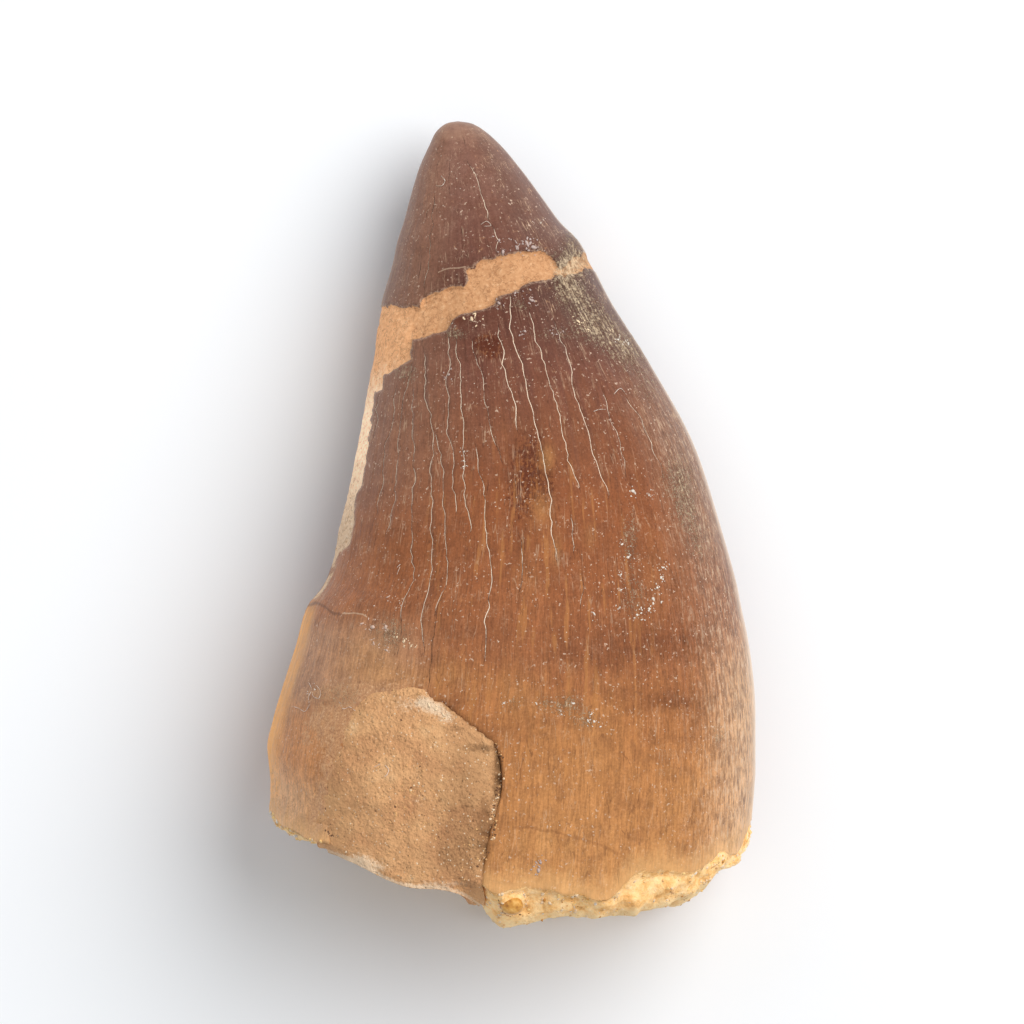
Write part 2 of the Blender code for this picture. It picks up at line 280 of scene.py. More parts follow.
class Wire:
    # one output socket in an expression: each operator adds a Math node
    def __init__(self, finish, socket):
        self.finish, self.socket = finish, socket

    def __add__(self, other):
        return self.finish.math("ADD", self, other)

    def __sub__(self, other):
        return self.finish.math("SUBTRACT", self, other)

    def __rsub__(self, other):
        return self.finish.math("SUBTRACT", other, self)

    def __mul__(self, other):
        return self.finish.math("MULTIPLY", self, other)

    def __truediv__(self, other):
        return self.finish.math("DIVIDE", self, other)

    def __abs__(self):
        return self.finish.math("ABSOLUTE", self)

    __radd__ = __add__
    __rmul__ = __mul__


class Finish:
    # one material and its nodes
    def __init__(self, name):
        self.material = bpy.data.materials.new(name)
        self.material.use_nodes = True
        self.tree = self.material.node_tree
        self.shader = self.tree.nodes["Principled BSDF"]

    def feed(self, socket, value):
        # links an output, or sets a steady value
        if isinstance(value, Wire):
            self.tree.links.new(value.socket, socket)
        else:
            socket.default_value = value

    def add(self, kind, settings=None, inputs=None, output=0):
        # any node: its settings first, then values or links by a socket's number or identifier
        node = self.tree.nodes.new(kind)
        for key, value in (settings or {}).items():
            if key == "stops":
                elements = node.color_ramp.elements
                elements.remove(elements[-1])
                elements[0].position, elements[0].color = value[0]
                for place, colour in value[1:]:
                    elements.new(place).color = colour
            else:
                setattr(node, key, value)
        byName = {socket.identifier: socket for socket in node.inputs}
        for key, value in (inputs or {}).items():
            self.feed(node.inputs[key] if isinstance(key, int) else byName[key], value)
        outputs = {socket.identifier: socket for socket in node.outputs}
        return Wire(self, outputs[output] if isinstance(output, str) else node.outputs[output])

    def math(self, operation, *values):
        return self.add("ShaderNodeMath", {"operation": operation}, dict(enumerate(values)))

    def vector(self, operation, *values):
        return self.add("ShaderNodeVectorMath", {"operation": operation}, dict(enumerate(values)))

    def field(self, name, output="Fac"):
        return self.add("ShaderNodeAttribute", {"attribute_name": name}, output=output)

    def place(self):
        # the place on the piece, in millimetres
        return self.vector("MULTIPLY", self.add("ShaderNodeTexCoord", output="Object"), (1 / mm,) * 3)

    def noise(self, where, scale, detail=3.0, roughness=0.55):
        inputs = {"Vector": where, "Scale": scale, "Detail": detail, "Roughness": roughness}
        return self.add("ShaderNodeTexNoise", {"normalize": True}, inputs, "Fac")

    def cells(self, where, scale):
        # distance to the nearest of many scattered points
        return self.add("ShaderNodeTexVoronoi", {}, {"Vector": where, "Scale": scale}, "Distance")

    def rise(self, value, low, high):
        # 0 at low and 1 at high, eased; low may be the larger
        settings = {"interpolation_type": "SMOOTHSTEP"}
        return self.add("ShaderNodeMapRange", settings, {"Value": value, "From Min": low, "From Max": high})

    def mix(self, first, second, share):
        # between two colours; one given as three numbers is as seen on screen
        first, second = (c if isinstance(c, Wire) else srgb(*c) for c in (first, second))
        inputs = {"Factor_Float": share, "A_Color": first, "B_Color": second}
        return self.add("ShaderNodeMix", {"data_type": "RGBA"}, inputs, "Result_Color")

    def coat(self, colour, *layers):
        # tints laid over a colour one after another, each with its share
        for tint, share in layers:
            colour = self.mix(colour, tint, share)
        return colour

    def ramp(self, value, *stops):
        # each stop is its place, then red, green and blue as seen on screen
        stops = [(place, srgb(*tint)) for place, *tint in stops]
        return self.add("ShaderNodeValToRGB", {"stops": stops}, {"Fac": value}, "Color")

    def blend(self, first, second, share):
        # between two numbers
        inputs = {"Factor_Float": share, "A_Float": first, "B_Float": second}
        return self.add("ShaderNodeMix", {"data_type": "FLOAT"}, inputs, "Result_Float")

    def parts(self, vector):
        # x, y and z of a vector
        first = self.add("ShaderNodeSeparateXYZ", {}, {0: vector})
        return [Wire(self, socket) for socket in first.socket.node.outputs]

    def shade(self, colour, factor):
        # a colour made brighter or darker by a number
        return self.add("ShaderNodeVectorMath", {"operation": "SCALE"}, {0: colour, "Scale": factor})

    def done(self, colour, roughness, heightInMm, **steady):
        # colour, roughness and a bump into the shader, which takes its other values as they are
        self.feed(self.shader.inputs["Base Color"], colour)
        self.feed(self.shader.inputs["Roughness"], roughness)
        bump = self.add("ShaderNodeBump", {}, {"Distance": mm, "Height": heightInMm})
        self.feed(self.shader.inputs["Normal"], bump)
        for key, value in steady.items():
            self.shader.inputs[key.replace("_", " ")].default_value = value
        return self.material


# The crown

crownLook = {
    "columnsOver": 178,  # grid lines over the upper face and under the lower one, besides the cracks' own
    "columnsUnder": 62,
    "tipRows": 12,
    "tipShare": 0.04,
    "wallRows": 244,
    "rimRows": 13,
    "baseRows": 20,
    "tipRise": 0.005,
    "crackHalfWidth": 0.037,
    "crackAngle": (0.0030, 0.0062),  # least and most of half a crack's width, in radians
    "crackSpacing": 0.013,
    "crackDepth": 0.06,
    "crackWiggle": 0.15,
    "enamelDepth": 0.45,
    "edgeDepth": 0.12,
    "crustHeight": 0.09,
}

# Long cracks in the enamel, as traced in photograph pixels from top to bottom, with how strongly each shows.
longCracks = {
    "tipLeft": (0.80, (436, 191), (436, 234), (435, 250), (436, 271), (437, 289)),
    "tipMiddle": (1.00, (470, 163), (476, 176), (481, 195), (485, 208), (489, 222)),
    "tipRight": (0.75, (497, 222), (497, 239), (498, 256)),
    "farLeft": (0.60, (381, 391), (376, 420), (371, 443)),
    "leftLong": (0.80, (398, 385), (395, 401), (388, 439), (386, 481), (378, 501), (376, 514)),
    "leftSecond": (0.70, (411, 360), (401, 410), (399, 451), (398, 478), (390, 519), (386, 537)),
    "leftThird": (0.75, (413, 386), (411, 431), (416, 479), (410, 522), (411, 587), (402, 623)),
    "leftFourth": (1.00, (425, 348), (425, 396), (434, 425), (430, 474), (433, 542), (430, 579), (426, 651)),
    "leftBranch": (0.75, (435, 428), (443, 471), (443, 519), (447, 587), (446, 616)),
    "middleLeft": (0.90, (448, 333), (449, 395), (448, 436), (453, 453), (454, 486), (456, 519)),
    "bright": (1.15, (456, 337), (461, 401), (464, 449), (465, 496), (470, 533)),
    "middleShort": (0.65, (470, 337), (483, 386), (492, 436), (502, 469)),
    "middleLow": (0.80, (475, 444), (483, 486), (487, 539), (490, 616), (494, 664)),
    "middle": (0.95, (498, 325), (506, 378), (516, 416), (519, 433)),
    "middleSplinter": (0.50, (520, 530), (523, 560), (524, 594)),
    "middleRight": (1.00, (510, 295), (512, 342), (524, 375), (536, 426), (547, 478), (552, 536), (559, 561)),
    "rightFirst": (0.90, (529, 310), (544, 370), (560, 415), (566, 461), (580, 493)),
    "rightShort": (0.55, (568, 509), (575, 559)),
    "rightSecond": (1.00, (554, 322), (571, 363), (571, 386), (585, 423), (597, 461), (611, 500)),
    "rightLow": (0.50, (579, 569), (586, 615)),
    "rightThird": (0.60, (600, 384), (615, 434), (628, 478)),
    "farRight": (0.60, (618, 391), (641, 419), (657, 460), (663, 478)),
    "rimCrack": (-1.0, (619, 846), (618, 862), (619, 884)),
}
underCracks = {"count": 9, "seed": 5, "shortest": 12.0, "longest": 30.0}

# Marks that run across the tooth, in photograph pixels; a negative strength is a pale one.
crossMarks = {
    "shoulderDark": (0.6, (306, 606), (318, 603), (326, 606), (333, 612), (343, 613)),
    "shoulderPale": (-0.5, (343, 613), (354, 612), (365, 614), (372, 619)),
    "ledge": (
        0.36, (510, 824), (530, 823), (542, 827), (551, 827), (575, 833), (588, 837), (602, 842), (617, 850),
    ),
    "rimBrow": (0.35, (488, 876), (505, 878), (530, 882), (546, 886)),
    "tipHairline": (-0.4, (437, 273), (450, 269), (466, 268)),
}

# Where the enamel is gone: seen from above, from the left side and from below.
enamelLoss = {
    "front": (
        (-13.0, 16.3), (-8.6, 16.1), (-6.8, 15.9), (-6.6, 16.8), (-5.1, 17.4), (-3.4, 17.7), (-3.3, 18.8),
        (-2.1, 19.5), (1.0, 20.2), (2.2, 20.3), (3.1, 19.6), (3.8, 19.0), (4.6, 19.7), (5.6, 20.2),
        (10.0, 19.8), (10.5, 18.4), (5.6, 18.9), (4.5, 18.4), (3.2, 18.3), (0.4, 17.4), (-1.1, 16.8),
        (-1.7, 15.9), (-4.5, 15.2), (-4.7, 14.4),
        (-7.3, 13.5), (-7.5, 12.2), (-9.6, 11.0), (-9.7, 9.9), (-10.3, 9.8), (-10.7, 5.2), (-11.5, 2.2),
        (-12.1, -1.6), (-12.9, -2.2), (-14.2, -5.6), (-17.0, -5.8),
    ),
    "flank": (
        (24.0, 30.0), (24.0, 2.0), (14.2, 2.0), (13.6, 3.6), (11.4, 4.1), (9.0, 3.3), (6.6, 4.8), (4.0, 4.4),
        (1.6, 6.0), (-1.5, 5.7), (-3.4, 7.6), (-6.6, 8.4), (-6.6, 30.0),
    ),
    "back": (
        (-13.0, 16.3), (-8.0, 16.2), (-5.5, 16.9), (-1.5, 17.6), (-1.3, 18.7), (3.2, 19.3), (10.0, 19.8),
        (10.5, 18.2), (4.0, 17.4), (0.6, 16.6), (-3.0, 16.2), (-3.3, 15.2), (-7.0, 14.6), (-13.0, 14.2),
    ),
    "backTop": 6.0,
}
# The sandy matrix at the lower left, from its left side round over the top and down its right side.
matrixShape = {
    "outline": (
        (-13.9, -23.6), (-14.0, -22.4), (-13.4, -19.6), (-12.6, -17.0), (-11.7, -14.4), (-10.3, -12.8),
        (-8.3, -12.4), (-6.4, -12.5), (-4.7, -13.7), (-3.1, -14.9), (-1.3, -16.2), (-0.7, -17.8),
        (-0.7, -20.0), (-1.3, -21.8), (-1.8, -24.0), (-2.2, -26.5),
    ),
    "belowBase": ((-2.3, -34.0), (-13.9, -34.0)),
    "bowlMiddle": (-7.2, -24.0, 26.0),
    "bowlRadii": (9.6, 16.0, 12.6),
    "wallSlope": 3.0,
}


def bowlHeight(x, y):
    # the lower half of an ellipsoid: the floor of the hollow that the matrix fills
    (cx, cy, cz), (rx, ry, rz) = matrixShape["bowlMiddle"], matrixShape["bowlRadii"]
    return cz - rz * np.sqrt(np.clip(1 - ((x - cx) / rx) ** 2 - ((y - cy) / ry) ** 2, 0, 1))


def matrixDistance(xy):
    # distance to the matrix's outline, and how far the place belongs to its clean right edge
    return signedDistance(xy, matrixShape["outline"] + matrixShape["belowBase"]), ease((xy[:, 0] + 7.0) / 2.0)


def wave(at, length, seed, smooth=True):
    # random values along a line, -1 to 1, a fresh one every length, with straight or smooth steps between
    values = np.random.default_rng(seed).uniform(-1, 1, 256)
    cell = np.floor(at / length).astype(int)
    part = at / length - cell
    part = ease(part) if smooth else part
    return values[cell % 256] * (1 - part) + values[(cell + 1) % 256] * part


def crackWander(along, number):
    # how far a crack strays sideways from its traced line
    size = crownLook["crackWiggle"]
    near = 0.6 * wave(along, 1.7, 100 + number, False) + 0.8 * wave(along, 0.85, 200 + number, False)
    return size * (near + 0.6 * wave(along, 0.42, 250 + number, False))


def crackTracks(along, left, right):
    # for each crack, its angle round the tooth at every row and how open it is there
    turns, openness = [], []
    width = np.maximum((right - left) / 2, 2.0)
    for number, (strength, *pixels) in enumerate(longCracks.values()):
        xy = fromPixels(pixels)[::-1]
        at = beforeBend(xy[:, 0], xy[:, 1])
        edges = sideEdges(at)
        share = 2 * (xy[:, 0] - edges[0]) / (edges[1] - edges[0]) - 1
        across = np.interp(along, at, share) + crackWander(along, number) / width
        power = toothShape["topSquareness"] / 2
        turns.append(np.arccos(np.clip(np.sign(across) * np.abs(across) ** power, -0.999, 0.999)))
        ends = np.minimum(along - at[0], at[-1] - along)
        shown = ease((ends + 0.5) / 1.6) * (0.85 + 0.35 * wave(along, 0.6, 300 + number))
        openness.append(strength * shown)
    draw = np.random.default_rng(underCracks["seed"])
    for number in range(underCracks["count"]):
        middle = draw.uniform(-8, 14)
        half = draw.uniform(underCracks["shortest"], underCracks["longest"]) / 2
        base = math.pi * (1 + (number + draw.uniform(0.3, 0.7)) / underCracks["count"])
        turns.append(base + crackWander(along, 50 + number) * 1.6 / width)
        shown = ease((half - np.abs(along - middle)) / 1.5)
        openness.append(0.8 * shown * (0.74 + 0.36 * wave(along, 0.7, 400 + number)))
    return np.array(turns), np.array(openness)


def placesDown():
    # rows from 0 at the tip to 1 at the enamel's lower edge, 2 at the rim's edge, 3 in the middle of the base
    look = crownLook
    tip = look["tipShare"] * (np.arange(1, look["tipRows"]) / look["tipRows"]) ** 1.5
    wall = np.linspace(look["tipShare"], 1.0, look["wallRows"])
    rim = 1 + np.concatenate([[0.03, 0.08], np.linspace(0.16, 1.0, look["rimRows"])])
    base = 2 + (np.arange(1, look["baseRows"]) / look["baseRows"]) ** 0.9
    return np.concatenate([tip, wall, rim, base])


def crownGrid():
    # every line's angle at a row is its own angle plus the shift of the cracks on either side of it
    look = crownLook
    down = placesDown()
    along, left, right = smoothThrough(toothRows, np.minimum(down, 1)).T
    turns, openness = crackTracks(along, left, right)
    order = np.argsort(turns.mean(axis=1))
    steps = np.arange(len(turns))[:, None] * look["crackSpacing"]
    spaced = np.maximum.accumulate(turns[order] - steps, axis=0) + steps
    middles = spaced.mean(axis=1)

    over = np.linspace(0, math.pi, look["columnsOver"], endpoint=False)
    under = np.linspace(math.pi, math.tau, look["columnsUnder"], endpoint=False)
    least, most = look["crackAngle"]
    even = np.concatenate([over, under])
    even = even[np.abs(even[:, None] - middles).min(axis=1) > 1.7 * most]
    # each crack has a line along its bottom and one along either edge
    lines = np.concatenate([even, np.repeat(middles, 3)])
    side = np.concatenate([0 * even, np.tile([-1, 0, 1], len(middles))])
    none = np.full(len(order), -1)
    owner = np.concatenate([np.full(len(even), -1), np.column_stack([none, order, none]).ravel()])
    sorting = np.lexsort((side, lines))
    lines, side, owner = lines[sorting], side[sorting], owner[sorting]

    knots = np.concatenate([[0.0], middles, [math.tau]])
    shifts = np.vstack([0 * along, spaced - middles[:, None], 0 * along])
    cell = np.clip(np.searchsorted(knots, lines, side="right") - 1, 0, len(knots) - 2)
    part = (lines - knots[cell]) / (knots[cell + 1] - knots[cell])
    turn = lines + (shifts[cell] * (1 - part)[:, None] + shifts[cell + 1] * part[:, None]).T
    # a crack keeps its width in millimetres as seen from above, within what the grid's spacing allows
    radius = np.maximum((right - left) / 2, 1.0)[:, None] * np.maximum(np.abs(np.sin(turn)), 0.4)
    turn += side * np.clip(look["crackHalfWidth"] / radius, least, most)
    crack = np.where(owner >= 0, openness[owner].T, 0.0)
    return turn, np.repeat(down[:, None], len(lines), axis=1), crack


def spots(xy, places):
    # sum of soft ellipses, each given as across, along, radius across, radius along and strength
    total = np.zeros(len(xy))
    for x, y, wide, tall, strength in places:
        away = ((xy[:, 0] - x) / wide) ** 2 + ((xy[:, 1] - y) / tall) ** 2
        total += strength * np.exp(-away)
    return total


def fibreFlow(points, widest):
    # how far across and up a place lies, as shares of the smoothed half width there, and its way along
    left, right = smoothThrough(toothShape["fibreEdges"], points[:, 1]).T
    half = (right - left) / 2
    across = (points[:, 0] - (left + right) / 2) / half
    return 14 * np.column_stack([across, 0.0057 * points[:, 1], (points[:, 2] - widest) / half])


stains = {
    # across, along, radius across, radius along, strength
    "dark": (
        (1.5, 4.0, 2.2, 3.2, 0.70), (0.8, -1.5, 1.6, 2.2, 0.35), (11.5, -8.8, 4.5, 1.5, 0.50),
        (11.5, -13.2, 4.0, 1.0, 0.60), (14.5, -5.0, 2.5, 3.5, 0.20), (-1.8, 13.2, 1.0, 0.8, 1.60),
        (2.2, 9.5, 1.2, 1.8, 0.30), (-10.0, -8.5, 3.0, 1.6, 0.15), (9.0, -5.0, 2.6, 3.6, 0.35),
        (4.0, -4.5, 1.2, 2.0, 0.25), (4.0, -9.5, 3.0, 1.4, 0.35), (8.0, -10.5, 3.0, 2.0, 0.35),
        (-4.0, 15.0, 0.6, 0.35, 1.0), (-15.2, -12.2, 1.6, 1.3, 0.40), (-15.0, -22.0, 1.0, 0.6, 0.6),
        (-13.8, -22.7, 0.5, 0.25, 1.2), (1.6, -25.9, 1.2, 0.9, 0.3), (-1.9, -20.5, 0.5, 4.0, 0.3),
    ),
    "gold": (
        (3.6, -17.5, 4.0, 4.2, 0.35), (0.5, -12.5, 2.0, 2.5, 0.35), (4.0, -23.5, 6.0, 2.6, 0.25),
        (13.5, -20.5, 3.0, 4.0, 0.35), (1.2, -4.0, 1.2, 2.5, 0.3), (6.8, -15.5, 1.6, 4.0, 0.25),
        (-16.0, -21.0, 2.0, 2.0, 0.35), (10.5, -4.0, 1.4, 4.0, 0.2), (3.3, -2.2, 0.5, 1.4, 0.5),
        (2.6, 4.8, 0.7, 1.2, 0.6), (5.8, -1.0, 0.5, 1.2, 0.4), (2.2, 1.0, 1.0, 1.6, 0.5),
        (-10.6, -9.8, 2.6, 2.2, 0.50), (-8.5, -11.5, 4.0, 1.2, 0.4), (-4.0, -11.0, 2.0, 1.6, 0.3),
    ),
    "rust": (
        (-1.8, 13.2, 0.85, 0.65, 1.6), (-1.3, 12.5, 0.5, 0.4, 1.0), (1.4, 4.4, 1.3, 2.2, 0.8),
        (0.6, 1.6, 1.0, 1.6, 0.7), (2.4, 2.6, 0.8, 1.6, 0.6), (-4.9, 15.1, 0.5, 0.3, 1.0),
        (-3.5, 16.3, 1.0, 0.4, 0.8),
    ),
    "crust": (
        (4.0, 19.0, 1.1, 1.3, 1.00), (5.4, 19.5, 1.1, 0.8, 0.80), (4.3, 17.2, 1.3, 1.2, 0.70),
        (5.6, 15.6, 1.5, 1.6, 0.65), (7.0, 14.2, 1.6, 1.5, 0.70), (8.8, 12.6, 1.3, 1.4, 0.75),
        (4.6, 21.0, 0.9, 1.0, 0.55), (10.2, 10.0, 1.2, 1.6, 0.40),
        (12.2, 3.4, 1.3, 2.0, 0.55), (13.0, 1.0, 1.0, 2.2, 0.55), (13.8, -1.5, 0.9, 1.8, 0.40),
        (8.8, -1.5, 0.9, 2.4, 0.50), (9.0, -5.5, 1.1, 1.8, 0.45), (3.5, -13.4, 1.6, 0.8, 0.60),
        (5.5, -14.6, 1.0, 0.8, 0.60), (0.2, -13.3, 0.6, 0.5, 0.5), (-9.0, -8.2, 1.6, 1.4, 0.55),
        (-8.0, 15.0, 1.2, 1.2, 0.3), (-7.8, 11.2, 1.0, 0.9, 0.6), (-4.2, 14.0, 0.9, 0.5, 0.8),
        (0.5, 16.1, 1.0, 0.6, 0.5), (3.0, 14.0, 2.0, 0.6, 0.4), (11.3, -17.5, 0.9, 2.0, 0.3),
        (15.3, -15.6, 0.9, 1.2, 0.35), (-3.0, -3.0, 2.0, 0.5, 0.15), (-12.8, -12.8, 1.8, 1.0, 0.55),
    ),
    "sand": (
        (-12.8, -14.8, 1.6, 1.8, 0.90), (-13.2, -17.8, 0.9, 1.8, 1.00), (-13.9, -20.8, 0.9, 1.8, 1.00),
        (-14.6, -22.6, 1.6, 0.8, 0.80), (-10.5, -12.6, 1.6, 0.9, 0.60), (-7.5, -12.0, 1.8, 0.4, 0.45),
        (-16.8, -21.2, 1.6, 1.0, 0.70), (-14.6, -12.6, 1.8, 0.7, 0.50), (-14.2, -14.6, 1.0, 0.9, 0.60),
        (-17.6, -19.0, 0.5, 2.0, 0.50), (-15.2, -16.0, 0.6, 0.9, 0.40), (-12.2, -12.4, 2.0, 0.6, 0.35),
    ),
}


def crossField(points):
    # signed distance along the tooth to the nearest mark across it, and that mark's strength where it runs
    nearest = np.full(len(points), 9.0)
    strength = np.zeros(len(points))
    for tone, *pixels in crossMarks.values():
        line = fromPixels(pixels)
        away = points[:, 1] - np.interp(points[:, 0], line[:, 0], line[:, 1])
        away += 0.05 * wave(points[:, 0] + 40, 0.5, 90)
        shown = (points[:, 0] > line[0, 0]) & (points[:, 0] < line[-1, 0])
        better = shown & (np.abs(away) < np.abs(nearest))
        nearest = np.where(better, away, nearest)
        strength = np.where(better, tone, strength)
    return nearest, strength

def crownBody(turn, down):
    # a squared ellipse at each row, bent to the slanting lower end, then the rim and the shallow end face
    shape, end = toothShape, rimShape
    along, left, right = smoothThrough(toothRows, np.minimum(down, 1)).T
    widest, rise, drop = smoothThrough(shape["levels"], along).T
    over = np.sin(turn) >= 0
    power = 2 / np.where(over, shape["topSquareness"], shape["underSquareness"])
    across, height = (np.sign(part) * np.abs(part) ** power for part in (np.cos(turn), np.sin(turn)))
    half, centre = (right - left) / 2, (left + right) / 2
    x = centre + half * across
    z = widest + half * height * np.where(over, rise, drop)
    upper = np.clip((z - widest) / 8, 0, 1)
    rimWidth = rimWidthAt(x) * (end["underShare"] + (1 - end["underShare"]) * upper)
    y = along + bendAt(along) * (baseYAt(x) + rimWidth - shape["cornerY"])
    # where the enamel breaks off is uneven: the distance past its edge, in rim widths
    chips = rough(np.column_stack([x, y, z]), "enamelChips")
    pastEdge = (down - 1) * np.where(down < 1, 21.0, 1.0) + chips / 2.5

    rim, inward = np.clip(down - 1, 0, 1), np.clip(down - 2, 0, 1)
    y -= rim * rimWidth
    z = widest + (z - widest) * (1 - (1 - end["inset"]) * rim**1.5)
    middleX, middleY, middleZ = end["middle"]
    recess = y - baseYAt(x)
    x += (middleX - x) * inward
    hollowed = middleY - baseYAt(np.array([middleX]))[0]
    y = np.where(inward > 0, baseYAt(x) + recess + (hollowed - recess) * ease(inward * 1.5), y)
    z += (middleZ - z) * inward

    outward = np.column_stack([0.7 * (x - centre), np.zeros(len(x)), z - widest])
    outward /= np.maximum(np.linalg.norm(outward, axis=1), 1e-6)[:, None]
    return SimpleNamespace(
        points=np.column_stack([x, y, z]), fan=np.column_stack([across, along, outward[:, 2]]),
        outward=outward * (1 - ease(inward * 3))[:, None], widest=widest, half=half, over=over, upper=upper,
        pastEdge=pastEdge, broken=ease(pastEdge / 0.25),
    )


def breakEnd(body):
    # the rim and the end face crumble, a step below the enamel, and stand back behind the matrix
    points, outward, broken = body.points, body.outward, body.broken
    start, stop, depth = rimShape["behindMatrix"]
    behind = broken * ease((points[:, 0] - start) / 0.6) * ease((stop - points[:, 0]) / 0.4)
    crumbs = broken * rough(points, "crumbs") * (1 - 0.85 * behind)
    step = rimShape["step"] * ease(body.pastEdge / 0.20)
    points += outward * (rough(points, "swell") + crumbs - step)[:, None]
    points[:, 1] -= broken * ((rough(points, "endFace") - 0.25) * (1 - behind) + 0.7 * crumbs) - depth * behind
    for lumpX, lumpY, radius, up in rimShape["lumps"]:
        away = np.hypot(points[:, 0] - lumpX, points[:, 1] - lumpY) / radius
        points[:, 2] += up * body.upper * outward[:, 2] * np.exp(-(away**2))


def loseEnamel(points):
    # the least distance to a place that has lost its enamel, as seen from above, from the left and from below
    front = signedDistance(points[:, :2], enamelLoss["front"])
    flank = signedDistance(points[:, 1:], enamelLoss["flank"])
    back = signedDistance(points[:, :2], enamelLoss["back"])
    seen = np.minimum(np.maximum(front, flank), np.maximum(back, points[:, 2] - enamelLoss["backTop"]))
    return seen + rough(points, "lossEdge")


def hollowDepth(points, widest):
    # how far the surface sinks to make room for the matrix: a steep wall down to the floor of a bowl
    patch, onRight = matrixDistance(points[:, :2])
    inside = -0.55 + 0.60 * onRight - patch + rough(points, "hollowEdge")
    inside = np.where(points[:, 2] > widest, inside, -1.0)
    lowered = points[:, 2] - matrixShape["wallSlope"] * np.clip(inside, 0, None)
    floor = np.minimum(bowlHeight(points[:, 0], points[:, 1]), points[:, 2])
    return points[:, 2] - np.maximum(lowered, floor)


def crownSurface(turn, down, crack):
    # the body, then what is broken off, worn into it or stuck to it, with the fields that the finish reads
    look = crownLook
    body = crownBody(turn, down)
    breakEnd(body)
    points, outward, wall = body.points, body.outward, 1 - body.broken
    flow = fibreFlow(points, body.widest)
    girth = np.clip(body.half / 14, 0, 1)
    points += outward * (wall * girth * rough(flow, "ribs"))[:, None]

    loss = loseEnamel(points)
    gone = ease(0.5 - loss / 0.28)
    grain = gone * rough(points, "bareGrain")
    points -= outward * (look["edgeDepth"], 0, look["enamelDepth"]) * gone[:, None]
    points += outward * (grain - look["crackDepth"] * np.abs(crack) * (1 - gone) * wall)[:, None]

    crusts = look["crustHeight"] * np.clip(rough(points, "crust"), 0, 1)
    crusts *= spots(points[:, :2], stains["crust"])
    sand = np.clip(spots(points[:, :2], stains["sand"]), 0, 1) * rough(points, "clingingSand")
    points += outward * (wall * body.over * (crusts + sand))[:, None]
    hollow = hollowDepth(points, body.widest)
    points[:, 2] -= hollow

    mark, markTone = crossField(points)
    fields = {
        "loss": loss, "rim": body.pastEdge, "crack": crack * (1 - gone), "flow": flow, "fan": body.fan,
        "hollow": hollow, "mark": mark, "markTone": markTone * body.over, "girth": girth,
    }
    for name, places in stains.items():
        fields[name] = spots(points[:, :2], places) * np.where(body.over, 1.0, 0.3)
    return points, fields


# the enamel's colours as seen on screen
enamelLook = {
    # share of the way from the base to the tip, red, green, blue
    "alongTooth": (
        (0.00, 206, 148, 90), (0.06, 196, 138, 84), (0.11, 186, 127, 76), (0.18, 182, 122, 72),
        (0.26, 170, 110, 64), (0.33, 154, 96, 59), (0.42, 149, 90, 54), (0.52, 144, 84, 49),
        (0.61, 131, 80, 54), (0.70, 117, 72, 56), (0.79, 88, 51, 40), (0.86, 116, 75, 61),
        (0.93, 130, 90, 75), (1.00, 138, 98, 82),
    ),
    # tint and strength, then where it sets in and is full: across in half widths, along in millimetres
    "zones": {
        "leftSide": ((160, 115, 90), 0.60, (-0.25, -0.80), (-3.0, 5.0)),
        "leftWarm": ((190, 118, 68), 0.45, (-0.55, -0.90), (3.0, -4.0), (-13.0, -10.0)),
        "tipRight": ((112, 88, 78), 0.35, (0.10, 0.60), (10.0, 16.0)),
        "leftPale": ((206, 160, 124), 0.55, (-0.30, -0.65), (-5.5, -8.5), (-14.5, -11.0)),
        # greyish-tan painted sheen along the right edge
        "greyEdge": ((156, 124, 100), 0.55, (0.60, 0.97), (14.0, 5.0), (-10.0, -1.0)),
        # the left flank's own yellow tint and its lower end, brightened as painted light on the side turned
        # away from the key lamp
        "leftFlank": ((226, 156, 100), 0.68, (-0.55, -0.92), (-11.0, -15.0)),
        "leftLow": ((255, 200, 148), 0.75, (-0.55, -0.92), (-16.5, -20.0)),
    },
    "tanDentine": ((0.30, 180, 126, 84), (0.44, 199, 146, 103), (0.56, 211, 158, 113), (0.70, 228, 184, 142)),
    "creamDentine": (
        (0.32, 176, 132, 98), (0.40, 224, 188, 152), (0.58, 238, 208, 176), (0.72, 246, 230, 208),
    ),
    "sand": ((0.28, 116, 80, 54), (0.42, 188, 134, 94), (0.58, 214, 164, 118), (0.74, 244, 216, 178)),
    "pith": (
        (0.30, 194, 137, 79), (0.42, 230, 176, 110), (0.52, 245, 199, 138), (0.62, 248, 208, 154),
        (0.76, 252, 228, 190),
    ),
    "endFace": ((0.30, 120, 78, 46), (0.48, 184, 132, 86), (0.66, 218, 172, 122)),
}


